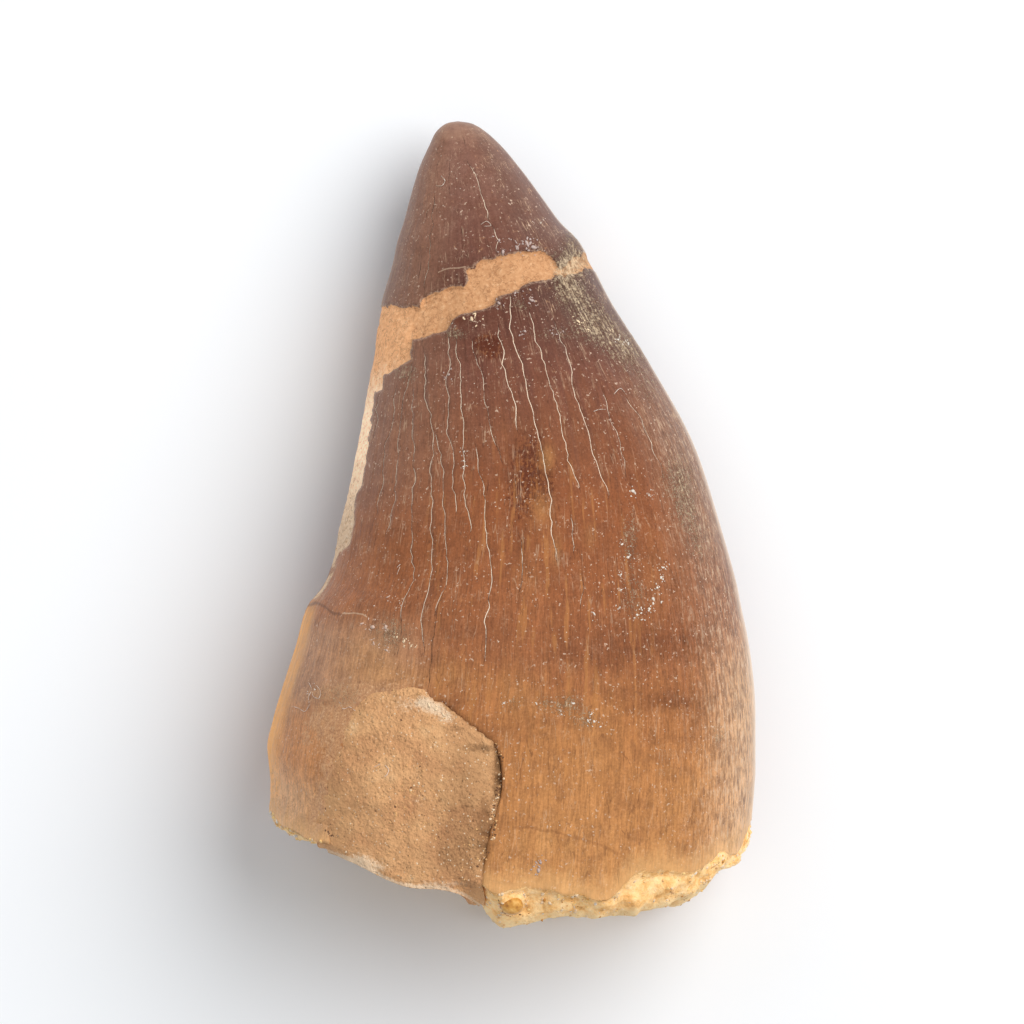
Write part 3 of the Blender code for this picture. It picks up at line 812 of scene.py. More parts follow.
def crownPatterns(finish):
    # the fields and noises that several layers of the crown's finish share
    on = SimpleNamespace(finish=finish, where=finish.place())
    on.girth, on.crust = finish.field("girth"), finish.field("crust")
    on.across, on.along, on.facing = finish.parts(finish.field("fan", "Vector"))
    on.y = finish.parts(on.where)[1]
    stray = finish.add("ShaderNodeTexNoise", {}, {"Vector": on.where, "Scale": 0.9, "Detail": 3.0}, "Color")
    stray = finish.vector("MULTIPLY", stray, (0.09, 0.0, 0.09))
    on.fibres = finish.vector("ADD", finish.field("flow", "Vector"), stray)
    on.longer = finish.vector("MULTIPLY", on.fibres, (1, 0.45, 1))
    on.rightwards = finish.rise(on.across, 0.60, 0.97)
    on.lower = finish.rise(on.along, 4.0, -8.0)
    on.aboveWidest = finish.rise(on.facing, -0.45, -0.05)
    on.mottle = finish.noise(on.where, 2.6, 5.0, 0.7)
    on.speckle = finish.noise(on.where, 5.5, 4.0, 0.8)
    on.patchy = finish.noise(on.where, 1.1, 4.0, 0.7)
    on.grit = finish.noise(on.where, 3.2, 6.0, 0.75)
    on.streak = finish.noise(on.longer, 2.2, 4.0, 0.6)
    on.fine = finish.noise(on.fibres, 5.2, 4.0, 0.7)
    on.lines = finish.rise(finish.noise(on.fibres, 7.0, 2.0, 0.5), 0.42, 0.58)
    on.wrinkles = finish.noise(finish.vector("MULTIPLY", on.fibres, (1, 3.5, 1)), 4.6, 3.0, 0.6)
    on.creased = on.rightwards * finish.rise(on.along, 16.0, 6.0)
    return on


def zone(on, across, *along):
    # 1 in one stretch of the crown, easing to 0 at each of its ends
    share = on.finish.rise(on.across, *across)
    for span in along:
        share = share * on.finish.rise(on.along, *span)
    return share


def enamelGround(on):
    # dark and purplish at the tip, red brown in the middle, golden at the base, then the tints of each side
    # and a painted sheen along the lower right edge
    finish = on.finish
    fingers = (finish.noise(on.longer, 1.8, 4.0, 0.6) - 0.5) * 9.0
    wander = (finish.noise(on.where, 0.16) - 0.5) * 5.0 + fingers
    enamel = finish.ramp((on.y + wander + 30) / 60, *enamelLook["alongTooth"])
    for tint, strength, *spans in enamelLook["zones"].values():
        enamel = finish.mix(enamel, tint, zone(on, *spans) * strength)
    # painted sheen: a pale band along the lower right edge, fuller above the widest level
    rightEdgeSheen = zone(on, (0.70, 0.98), (-5.0, -12.0)) * (0.3 + on.aboveWidest * 0.7)
    return finish.mix(enamel, (222, 180, 138), rightEdgeSheen * 0.65)


def stainedEnamel(on, enamel):
    # broad dark bands, rusty flecks, golden patches and soft blotches
    finish, rust = on.finish, on.finish.field("rust")
    darkness = finish.rise(finish.field("dark") * (0.4 + on.mottle * 1.2), 0.05, 0.95)
    flecky = finish.noise(finish.vector("MULTIPLY", on.where, (1, 0.40, 1)), 4.5, 4.0, 0.75)
    rusty = finish.rise(flecky + rust * 0.16, 0.54, 0.66) * finish.rise(rust, 0.05, 0.40)
    between = finish.rise(rust, 0.1, 0.7) * finish.rise(flecky, 0.50, 0.42)
    blotch = finish.rise(finish.noise(on.where, 0.7, 5.0, 0.65), 0.44, 0.62)
    return finish.coat(
        enamel,
        ((92, 46, 26), darkness * 0.62),
        ((172, 104, 48), between * 0.25),
        ((86, 36, 18), rusty * 0.72),
        ((206, 149, 90), finish.rise(finish.field("gold"), 0.0, 1.0) * 0.65),
        ((104, 58, 38), blotch * 0.22),
    )


def streakedEnamel(on, enamel):
    # soft lengthwise streaks, dashes and hairlines, a fine mottling, a painted shade over the right half, and
    # the wrinkles of the right side
    finish = on.finish
    finest = finish.noise(finish.vector("MULTIPLY", on.fibres, (1, 2.4, 1)), 9.0, 3.0, 0.7)
    fibrous = (on.streak * 0.30 + on.fine * 0.34 + finest * 0.44 - 0.54) * finish.rise(on.girth, 0.15, 0.60)
    lined = (on.lines - 0.5) * (on.lower * 0.18 + on.rightwards * 0.16)
    tone = 0.33 + fibrous + on.speckle * 0.96 + on.patchy * 0.32 + lined
    # painted shade: the tone falls by up to 0.07 towards the right, against the key lamp that lights that side
    enamel = finish.shade(enamel, tone - finish.rise(on.across, 0.0, 0.7) * 0.07)
    dashes = finish.rise(finish.noise(on.fibres, 2.4, 3.0, 0.5), 0.57, 0.68)
    goldZone = finish.rise(on.along, 8.0, 1.0) * finish.rise(abs(on.across - 0.05), 0.75, 0.35)
    hair = abs(finish.noise(on.fibres, 1.5, 2.0, 0.5) - 0.5)
    paleLine = finish.rise(hair, 0.012, 0.003) * finish.rise(finish.noise(on.where, 0.8), 0.45, 0.58)
    otherHair = abs(finish.noise(finish.vector("ADD", on.fibres, (7.7, 0, 3.1)), 1.9, 2.0) - 0.5)
    darkLine = finish.rise(otherHair, 0.014, 0.003) * finish.rise(finish.noise(on.where, 0.6), 0.42, 0.55)
    tipRight = zone(on, *enamelLook["zones"]["tipRight"][2:])
    return finish.coat(
        enamel,
        ((190, 128, 72), dashes * goldZone * 0.40),
        ((78, 42, 27), darkLine * (0.46 - on.lower * 0.10)),
        ((206, 172, 140), paleLine * (0.40 - on.lower * 0.15 + tipRight * 0.35)),
        ((78, 52, 38), finish.rise(on.wrinkles, 0.48, 0.36) * on.creased * 0.50),
        ((214, 184, 154), finish.rise(on.wrinkles, 0.54, 0.66) * on.creased * 0.50),
    )


def dustyEnamel(on, enamel):
    # a thin bloom, stronger towards both side edges as partly dust and partly painted sheen, pale scattered
    # flecks, and dots that crowd where crusts sit
    finish, where = on.finish, on.where
    on.bloom = finish.rise(on.speckle * 0.55 + finish.noise(where, 0.8, 3.0, 0.6) * 0.45, 0.52, 0.68)
    # the bloom's extra strength towards the side edges is partly dust and partly painted sheen
    sideDustAndSheen = on.rightwards * 0.22 + finish.rise(on.across, -0.60, -0.95) * 0.14
    dusty = finish.rise(finish.noise(where, 0.42, 3.0, 0.6), 0.36, 0.56)
    fleck = finish.rise(finish.noise(where, 4.4, 2.0, 0.5), 0.645, 0.71) * dusty
    dots = finish.rise(finish.cells(where, 1.5), 0.085, 0.045) * dusty
    smaller = finish.cells(finish.vector("ADD", where, (4.4, 8.1, 2.7)), 2.6)
    crowded = finish.rise(on.crust + on.speckle * 0.5, 0.30, 0.5)
    dots = finish.math("MAXIMUM", dots, finish.rise(smaller, 0.10, 0.05) * crowded)
    return finish.coat(
        enamel,
        ((206, 180, 154), on.bloom * (0.10 + sideDustAndSheen)),
        ((216, 188, 164), fleck * 0.65),
        ((230, 210, 190), dots * 0.75),
    )


def edgedEnamel(on, enamel):
    # a painted rim highlight along both outlines, the worn tip, and the yellow lower left edge, brightened as
    # painted light
    finish = on.finish
    # painted highlight: a pale rim where the surface turns away towards each outline, above the widest level
    rightRimHighlight = finish.rise(on.facing, 0.36, 0.02) * finish.rise(on.across, 0.0, 0.5) * on.aboveWidest
    leftRimHighlight = finish.rise(on.facing, 0.26, 0.0) * zone(on, (-0.5, -0.9), (2.0, 8.0)) * on.aboveWidest
    wornTip = finish.rise(on.along + (on.patchy - 0.5) * 5.0, 27.6, 30.6)
    # the lower left edge's own yellow tint, made up to a bright orange yellow as painted light on the side
    # away from the key lamp
    leftEdgeTintAndLight = zone(on, (-0.93, -1.0), (-5.0, -7.0))
    return finish.coat(
        enamel,
        ((236, 214, 190), rightRimHighlight * 0.8),
        ((226, 200, 174), leftRimHighlight * 0.6),
        ((176, 138, 112), wornTip * 0.45),
        ((255, 180, 90), leftEdgeTintAndLight * (0.30 + on.streak + (on.patchy - 0.5))),
    )


def crackedEnamel(on, enamel):
    # cracks with pale fillings, dark where one reaches the rim, and the marks that run across
    finish = on.finish
    crack, markTone = finish.field("crack"), finish.field("markTone")
    filled = crack * (0.15 + finish.noise(on.where, 4.2, 3.0, 0.75) * 1.9)
    offMark = abs(finish.field("mark")) + (on.speckle - 0.5) * 0.20
    return finish.coat(
        enamel,
        ((52, 26, 15), finish.rise(crack, 0.02, 0.25) * 0.70),
        ((248, 224, 198), finish.rise(filled, 0.26, 0.64)),
        ((96, 58, 34), finish.rise(crack, -0.15, -0.5) * 0.8),
        ((108, 64, 36), finish.rise(offMark, 0.20, 0.02) * finish.rise(markTone, 0.0, 1.0)),
        ((222, 192, 160), finish.rise(offMark, 0.07, 0.02) * finish.rise(markTone, 0.0, -1.0)),
    )


def bareDentine(on, enamel):
    # tan and cream dentine where the enamel is gone, with painted light on the left strip, fine dark veins,
    # and a dusty edge round it
    finish = on.finish
    ragged = finish.field("loss") + (on.grit - 0.5) * 0.55
    on.gone = finish.rise(ragged, 0.03, -0.03)
    fringe = finish.rise(ragged, 0.26, 0.02) * finish.rise(on.speckle, 0.44, 0.56)
    tan, cream = (finish.ramp(on.grit, *enamelLook[name]) for name in ("tanDentine", "creamDentine"))
    bare = finish.mix(tan, cream, finish.rise(on.y + (on.patchy - 0.5) * 4.0, 12.5, 8.0))
    # painted light: the cream strip on the left flank, which faces away from the key lamp, made up to 62%
    # brighter
    leftStripPaintedLight = finish.rise(on.across, -0.45, -0.95) * finish.rise(on.y, -1.0, 6.0)
    bare = finish.shade(bare, 0.89 + on.patchy * 0.16 + leftStripPaintedLight * 0.62)
    veins = finish.rise(abs(finish.noise(on.where, 0.9, 5.0, 0.6) - 0.5), 0.022, 0.004)
    bare = finish.mix(bare, (120, 76, 48), veins * 0.40)
    return finish.coat(enamel, ((196, 166, 140), fringe * 0.6), (bare, on.gone))


def crustedSurface(on, colour):
    # grey and cream crusts broken up by the fibres, and sand that clings beside the matrix
    finish = on.finish
    scattered = on.speckle * 1.5 + on.fine * 0.5 + on.streak * 0.3 + on.crust * 0.42
    on.crustShare = finish.rise(scattered, 1.30, 1.62) * finish.rise(on.crust, 0.04, 0.35)
    crustTone = finish.rise(on.mottle * 0.6 + on.fine * 0.4, 0.42, 0.58)
    crusts = finish.mix((120, 96, 74), (216, 192, 158), crustTone)
    sandy = finish.field("sand") + (on.grit - 0.5) * 2.2 + (on.patchy - 0.5) * 1.2
    sand = finish.ramp(on.speckle, *enamelLook["sand"])
    return finish.coat(colour, (crusts, on.crustShare * 0.74), (sand, finish.rise(sandy, 0.25, 0.75) * 0.80))


def brokenEnd(on, colour):
    # the rim's crumbly pith, pale at its lower edge, the darker end face, and painted shade on the walls of
    # the hollow
    finish, rim = on.finish, on.finish.field("rim")
    on.crumbs = finish.noise(on.where, 1.0, 6.0, 0.7)
    on.broken = finish.rise(rim + (on.grit - 0.5) * 0.10, -0.02, 0.04)
    pith = finish.coat(
        finish.shade(finish.ramp(on.crumbs, *enamelLook["pith"]), 0.87 + on.grit * 0.62),
        ((176, 122, 70), finish.rise(rim + (on.speckle - 0.5) * 0.2, 0.14, 0.0) * 0.35),
        ((255, 228, 178), finish.rise(abs(rim - 1.0), 0.30, 0.05) * 0.5),
        (finish.ramp(on.crumbs, *enamelLook["endFace"]), finish.rise(rim, 1.1, 1.5)),
    )
    return finish.coat(
        colour,
        ((228, 176, 116), finish.rise(rim + (on.grit - 0.5) * 0.8, -0.75, 0.0) * 0.50),
        (pith, on.broken),
        # painted shade: dark brown on the hollow's walls, fuller where the surface sinks deeper beside the
        # matrix
        ((84, 54, 34), finish.rise(finish.field("hollow"), 0.08, 0.40)),
    )


def enamelFinish():
    # one layer of colour over another, then the gloss, and a fine relief that is fibrous on enamel
    finish = Finish("fossilEnamel")
    on = crownPatterns(finish)
    colour = enamelGround(on)
    layers = (
        stainedEnamel, streakedEnamel, dustyEnamel, edgedEnamel, crackedEnamel, bareDentine, crustedSurface,
        brokenEnd,
    )
    for layer in layers:
        colour = layer(on, colour)
    bareness = finish.math("MAXIMUM", on.gone, on.broken)
    gloss = 0.40 + (on.patchy - 0.5) * 0.25 + on.bloom * 0.18 + on.crustShare * 0.2
    fibres = finish.noise(on.fibres, 3.6, 1.0, 0.5) * 0.034
    relief = (fibres + on.lines * on.lower * 0.010 + on.wrinkles * on.creased * 0.03) * on.girth
    skin = relief + finish.noise(on.where, 2.4, 1.0, 0.5) * 0.016 + on.crustShare * 0.04
    stone = finish.noise(on.where, 3.2, 2.0, 0.6) * (0.05 + on.broken * 0.05) + on.crumbs * on.broken * 0.13
    height = finish.blend(skin, stone, bareness)
    return finish.done(colour, finish.blend(gloss, 0.88, bareness), height, IOR=1.5, Specular_IOR_Level=0.27)


def buildCrown():
    # the grid's angles and rows made points, kept within the CAD box, and closed at the tip and the base
    turn, down, crack = crownGrid()
    shape = turn.shape
    points, fields = crownSurface(turn.ravel(), down.ravel(), crack.ravel())
    rings = np.clip(points, cadLow / mm, cadHigh / mm).reshape(*shape, 3)
    fields = {name: values.reshape(*shape, *values.shape[1:]) for name, values in fields.items()}
    mesh = closedMesh("toothCrown", rings, fields, crownLook["tipRise"])
    crown = piece("toothCrown", mesh, enamelFinish())
    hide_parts("tooth_crown")
    print("crown:", shape, sum(len(face.vertices) - 2 for face in mesh.polygons), "triangles")
    return crown


# The sandy matrix

matrixLook = {
    "around": 360,
    "topRows": 96,
    "wallRows": 14,
    "floorRows": 10,
    "lap": 0.55,  # how far it laps over the hollow's left edge
    "rightLap": 0.10,  # the same on its right side, less the open crevice
    "crevice": 0.19,
    "setBack": 0.20,
    "inset": 0.99,  # how much of its height its face keeps at the lower end
    "middle": (-7.4, -19.8),
    "sand": ((0.30, 192, 139, 97), (0.45, 205, 153, 107), (0.58, 213, 162, 114), (0.72, 222, 177, 130)),
}
matrixSpots = {
    "cream": (
        (-5.6, -13.7, 0.8, 0.5, 1.0), (-4.8, -14.4, 0.6, 0.4, 0.9), (-6.4, -13.2, 0.6, 0.4, 0.8),
        (-11.2, -24.9, 1.1, 0.5, 1.0), (-9.9, -25.4, 0.8, 0.4, 0.8), (-6.9, -20.4, 0.9, 0.7, 0.35),
        (-7.6, -13.4, 1.8, 0.7, 0.5), (-5.0, -26.6, 2.5, 0.25, 0.6), (-7.0, -18.6, 0.5, 0.5, 0.3),
    ),
    # painted shade over the patch's right side, its lower end and its left edge
    "shade": ((-3.3, -19.2, 2.6, 4.6, 1.0), (-5.0, -25.0, 3.5, 2.0, 0.5), (-13.0, -21.0, 1.2, 3.0, 0.3)),
    # dark marks and dirt, and painted shade along the crevice and over the patch's right side
    "dirty": (
        (-4.0, -24.2, 2.4, 2.2, 0.40), (-1.0, -18.6, 0.35, 2.2, 1.2), (-1.9, -23.0, 0.55, 2.4, 0.9),
        (-7.1, -16.9, 0.35, 0.08, 0.7), (-6.6, -18.3, 0.08, 0.35, 0.8), (-8.2, -18.1, 0.12, 0.12, 0.7),
        (-5.3, -20.5, 0.14, 0.12, 0.8), (-11.5, -22.0, 2.0, 2.0, 0.20), (-3.0, -26.6, 1.5, 0.8, 0.4),
        (-2.2, -16.6, 1.3, 0.3, 0.7), (-4.2, -15.2, 0.9, 0.25, 0.5), (-1.7, -25.5, 0.4, 1.6, 0.6),
        (-3.4, -19.5, 2.8, 5.0, 0.52), (-12.6, -19.5, 1.3, 4.0, 0.25), (-12.0, -14.2, 1.6, 1.0, 0.30),
        (-4.5, -25.2, 2.6, 1.2, 0.20), (-9.0, -23.5, 3.0, 0.8, 0.20),
    ),
}


def matrixOutline():
    # the traced outline, closed along the lower end of the tooth, as evenly spaced points
    sides = np.array(matrixShape["outline"])
    x = np.linspace(sides[-1, 0] - 0.15, sides[0, 0] + 0.35, 30)
    lower = np.column_stack([x, baseYAt(x) - 0.05])
    loop = np.vstack([sides, lower, sides[:1]])
    run = lengthAlong(loop)
    at = np.linspace(0, run[-1], matrixLook["around"], endpoint=False)
    edge = np.column_stack([np.interp(at, run, loop[:, 0]), np.interp(at, run, loop[:, 1])])
    return edge, ease((at - 15.5) / 2.0) * ease((run[len(sides)] - 1.0 - at) / 1.0)


def creviceAt(along):
    # 1 where the crevice on the matrix's right side gapes, falling to 0 above and below: a bell curve
    return np.exp(-(((along + 18.7) / 2.0) ** 2))

def matrixEdge():
    # the outline, lapping over the hollow's left edge and drawn back from the crevice on its right
    look = matrixLook
    edge, cleanEdge = matrixOutline()
    outwards = edge - look["middle"]
    outwards /= np.linalg.norm(outwards, axis=1)[:, None]
    onBase = ease((baseYAt(edge[:, 0]) + 0.6 - edge[:, 1]) / 0.4)
    order = np.arange(len(edge))
    uneven = 0.09 * wave(order, 9, 61) + 0.07 * wave(order, 3, 62)
    opening = cleanEdge * creviceAt(edge[:, 1])
    grow = look["lap"] * (1 - cleanEdge) * (1 - onBase) + look["rightLap"] * cleanEdge
    grow -= look["crevice"] * opening
    return edge + outwards * (grow + uneven * (0.3 + 0.7 * opening))[:, None], onBase


def matrixTop(xy):
    # the crown's own upper face, rough and pitted, sunk a little beside the crevice
    look = matrixLook
    away, onRight = matrixDistance(xy)
    # its surface keeps its height almost to the lower end, except where it meets the crown's rim
    meetsRim = np.maximum(ease((xy[:, 0] + 4.5) / 2.5), ease((-12.0 - xy[:, 0]) / 1.5))
    z = topHeight(xy[:, 0], xy[:, 1], look["inset"] + (rimShape["inset"] - look["inset"]) * meetsRim)
    spot = np.column_stack([xy, z])
    edgeWear = ease((away + 0.5) / 0.5)
    lapped = 0.07 - 0.16 * ease((away + 0.1) / 0.6)
    sunk = -look["setBack"] * ease((away + 3.0) / 2.5) - 0.25 * edgeWear
    sunk *= 0.30 + 0.70 * creviceAt(xy[:, 1])
    pits = -0.45 * spots(xy, matrixSpots["dirty"][1:3]) * np.clip(lumpy(spot, 0.5, 76) + 0.3, 0, 1)
    pits -= 0.10 * np.clip(lumpy(spot, 0.35, 77) - 0.25, 0, 1) + 0.06 * np.clip(lumpy(spot, 0.8, 78), 0, 1)
    skin = rough(spot, "matrixSkin") * (1 - 0.5 * edgeWear) + pits
    return z + skin + lapped * (1 - onRight) + sunk * onRight


def matrixSurface():
    # rings from the middle of the upper face out to the outline, down the wall and in under the plug
    look = matrixLook
    edge, onBase = matrixEdge()
    middle = np.array(look["middle"])
    out = np.concatenate([np.linspace(0, 0.9, look["topRows"] - 16)[1:], np.linspace(0.9, 1, 17)[1:]])
    xy = (middle + (edge - middle)[None] * out[:, None, None]).reshape(-1, 2)
    fields = {name: [spots(xy, places)] for name, places in matrixSpots.items()}
    fields["cream"][0] += 0.8 * ease((baseYAt(xy[:, 0]) + 0.40 - xy[:, 1]) / 0.3)
    rings = [np.column_stack([xy, matrixTop(xy)]).reshape(len(out), len(edge), 3)]

    last = rings[0][-1]
    floor = np.minimum(bowlHeight(edge[:, 0], edge[:, 1]) + 0.3, last[:, 2] - 0.3)
    for share in np.linspace(0, 1, look["wallRows"] + 1)[1:]:
        ring = np.column_stack([edge, last[:, 2] + (floor - last[:, 2]) * share])
        worn = 0.10 + rough(ring, "matrixWall")
        ring[:, 1] += onBase * ease(share * 4) * np.maximum(worn, 0.0)
        ring[:, 0] += onBase * share**2 * (0.14 * (middle[0] - ring[:, 0]) + rough(ring, "matrixFoot"))
        rings.append(ring[None])
    lowest = rings[-1][0]
    for share in np.linspace(1, 0, look["floorRows"] + 1)[1:-1]:
        ring = lowest.copy()
        ring[:, :2] = middle + (lowest[:, :2] - middle) * share
        ring[:, 2] = np.minimum(bowlHeight(ring[:, 0], ring[:, 1]) + 0.3, lowest[:, 2])
        rings.append(ring[None])
    rings = np.concatenate(rings)
    hidden = np.zeros((len(rings) - len(out)) * len(edge))
    shape = rings.shape[:2]
    return rings, {name: np.append(shown[0], hidden).reshape(shape) for name, shown in fields.items()}


def matrixFinish():
    # mottled tan sand with painted shade on its right side, lower end and left edge, fine rills, cream crusts,
    # dirt that partly stands in for shade, and single dark and pale grains
    finish = Finish("sandyMatrix")
    where = finish.place()
    broad = finish.noise(where, 0.35, 4.0, 0.6)
    sand = finish.noise(where, 4.5, 6.0, 0.8)
    coarse = finish.noise(where, 1.7, 5.0, 0.7)
    ground = finish.ramp(broad, *matrixLook["sand"])
    # painted shade: the sand made up to 22% darker where the shade spots lie
    ground = finish.shade(ground, (0.31 + sand * 1.10 + coarse * 0.40) * (1 - finish.field("shade") * 0.22))
    rills = finish.noise(finish.vector("MULTIPLY", where, (1.0, 0.5, 1.0)), 6.5, 3.0, 0.7)
    pale = finish.field("cream") + (sand - 0.5) * 2.6
    dirty = finish.field("dirty") + (sand - 0.5) * 2.8
    grains = finish.cells(where, 3.4)
    darkGrain = finish.rise(grains, 0.22, 0.10) * finish.rise(finish.noise(where, 1.4), 0.46, 0.56)
    paleGrain = finish.rise(finish.cells(finish.vector("ADD", where, (3.1, 5.7, 1.3)), 2.6), 0.20, 0.08)
    colour = finish.coat(
        ground,
        ((120, 80, 52), finish.rise(rills, 0.42, 0.30) * 0.35),
        ((232, 204, 172), finish.rise(pale, 0.25, 1.05) * 0.8),
        ((108, 74, 48), finish.rise(dirty, 0.30, 1.00) * 0.62),
        ((92, 60, 38), darkGrain * 0.55),
        ((246, 224, 194), paleGrain * 0.6),
    )
    height = finish.noise(where, 3.4, 2.0, 0.6) * 0.15 + broad * 0.2 + finish.rise(grains, 0.0, 0.5) * 0.04
    return finish.done(colour, 0.92, height, IOR=1.45, Specular_IOR_Level=0.25)


def buildMatrix():
    # the rings kept within the CAD box; a loop that runs anticlockwise is turned so that the faces point out
    rings, fields = matrixSurface()
    rings = np.clip(rings, cadLow / mm, cadHigh / mm)
    spokes = rings[0] - rings[0].mean(axis=0)
    if np.cross(spokes, np.roll(spokes, -1, axis=0))[:, 2].sum() > 0:
        rings, fields = rings[:, ::-1], {name: values[:, ::-1] for name, values in fields.items()}
    mesh = closedMesh("sandyMatrix", rings, fields)
    matrix = piece("sandyMatrix", mesh, matrixFinish())
    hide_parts("sandy_matrix")
    print("matrix:", rings.shape[:2], len(mesh.polygons), "faces")
    return matrix


# Grains and flecks that sit on the surface

grainLook = {
    # how many, least and greatest radius, how much small ones prevail, tints and their shares
    "scatter": {
        "rim": (
            1100, 0.07, 0.24, 2.5, {"yellow": 0.40, "cream": 0.36, "white": 0.04, "amber": 0.06, "tan": 0.14},
        ),
        "corner": (160, 0.10, 0.26, 1.0, {"yellow": 0.4, "cream": 0.25, "white": 0.15, "amber": 0.2}),
        "sand": (300, 0.04, 0.12, 1.0, {"tan": 0.80, "cream": 0.12, "dark": 0.08}),
    },
    "cornerEdge": -11.5,
    "satellites": 9,
    "fleckHeight": 0.20,
    "sunk": 0.35,
    "dents": 0.42,
    "seed": 23,
    "tints": {
        "white": (236, 224, 208), "cream": (244, 214, 176), "lilac": (196, 172, 162), "pink": (220, 188, 168),
        "yellow": (252, 208, 136), "amber": (206, 142, 66), "tan": (222, 172, 116), "dark": (116, 80, 54),
        "rust": (190, 110, 54),
    },
}
# rows of grains along a line: photograph pixels, how many, scatter and radius in millimetres, and their tints
grainRows = {
    # dark and tan grains along the crevice, which also stand in for the crevice's shade
    "creviceTopGrainsAndShade": (((494, 738), (500, 750), (502, 762), (502, 773)), 34, 0.12, 0.085, ("dark", "tan")),
    "creviceLowGrainsAndShade": (
        ((502, 773), (501, 787), (497, 796), (493, 812)), 60, 0.13, 0.10, ("dark", "tan", "dark", "cream"),
    ),
    "bandBelow": (
        ((493, 812), (491, 830), (488, 845), (484, 860)), 70, 0.22, 0.10, ("tan", "dark", "cream", "tan"),
    ),
    # dark and rusty grains in the crease round the amber pebble, partly painted shade
    "amberCreaseGrainsAndShade": (
        ((499, 893), (500, 902), (505, 909), (513, 912), (523, 911)), 26, 0.04, 0.065, ("dark", "rust"),
    ),
    "amberLip": (
        ((500, 889), (509, 886), (519, 888), (526, 894), (528, 903)),
        26, 0.08, 0.12, ("cream", "tan", "cream"),
    ),
    "cornerHole": (((325, 824), (330, 830), (338, 834)), 16, 0.06, 0.08, ("dark",)),
}
# across and down in photograph pixels, radius in pixels
flecks = {
    "white": (
        (621, 544, 2.5), (627, 557, 2.5), (620, 574, 2.0), (620, 589, 2.0), (662, 567, 2.5), (660, 577, 2.5),
        (656, 587, 3.0), (652, 598, 3.0), (648, 608, 3.0), (636, 614, 3.0), (640, 607, 2.0), (617, 608, 2.0),
        (593, 612, 2.0), (632, 491, 3.0), (648, 495, 2.0), (504, 701, 1.6), (536, 701, 1.8), (561, 712, 2.0),
        (593, 719, 3.0), (590, 712, 2.0), (573, 701, 2.0), (464, 452, 1.6), (464, 461, 1.8), (464, 467, 1.5),
        (628, 344, 3.0), (618, 340, 2.5), (450, 326, 2.0), (541, 223, 1.6), (309, 690, 1.6), (316, 688, 1.6),
    ),
    "lilac": (
        (503, 253, 3.6), (517, 248, 3.6), (527, 244, 4.2), (534, 248, 4.2), (499, 241, 2.8), (532, 301, 3.6),
        (499, 304, 3.0), (515, 294, 2.6), (525, 332, 3.0), (449, 375, 3.2), (552, 334, 2.4), (563, 332, 2.0),
        (538, 866, 4.0), (540, 858, 3.0),
    ),
    "pink": (
        (374, 626, 4.6), (387, 626, 3.2), (375, 642, 2.6), (388, 649, 2.2), (403, 604, 2.0), (389, 596, 2.6),
    ),
    "cream": (
        (472, 320, 4.0), (430, 703, 3.0), (437, 707, 3.4), (444, 712, 3.2), (451, 717, 2.6), (424, 699, 2.6),
        (405, 640, 2.6), (412, 645, 2.2), (398, 636, 2.0), (578, 322, 2.6), (588, 330, 2.4), (612, 330, 2.6),
    ),
}


def surfaceOf(*pieces):
    # every vertex of these pieces, in millimetres, and the way that the surface faces there
    found = []
    for kind in ("co", "normal"):
        rows = [np.empty(len(made.data.vertices) * 3) for made in pieces]
        for made, values in zip(pieces, rows):
            made.data.vertices.foreach_get(kind, values)
        found.append(np.concatenate(rows).reshape(-1, 3))
    return found[0] / mm, found[1]


def nearestFromAbove(points, normals, xy):
    # for each place seen from above, the nearest vertex among those that face up
    gaps = np.linalg.norm(points[None, :, :2] - xy[:, None], axis=2) + 9.0 * (normals[None, :, 2] < 0.15)
    return gaps.argmin(axis=1)


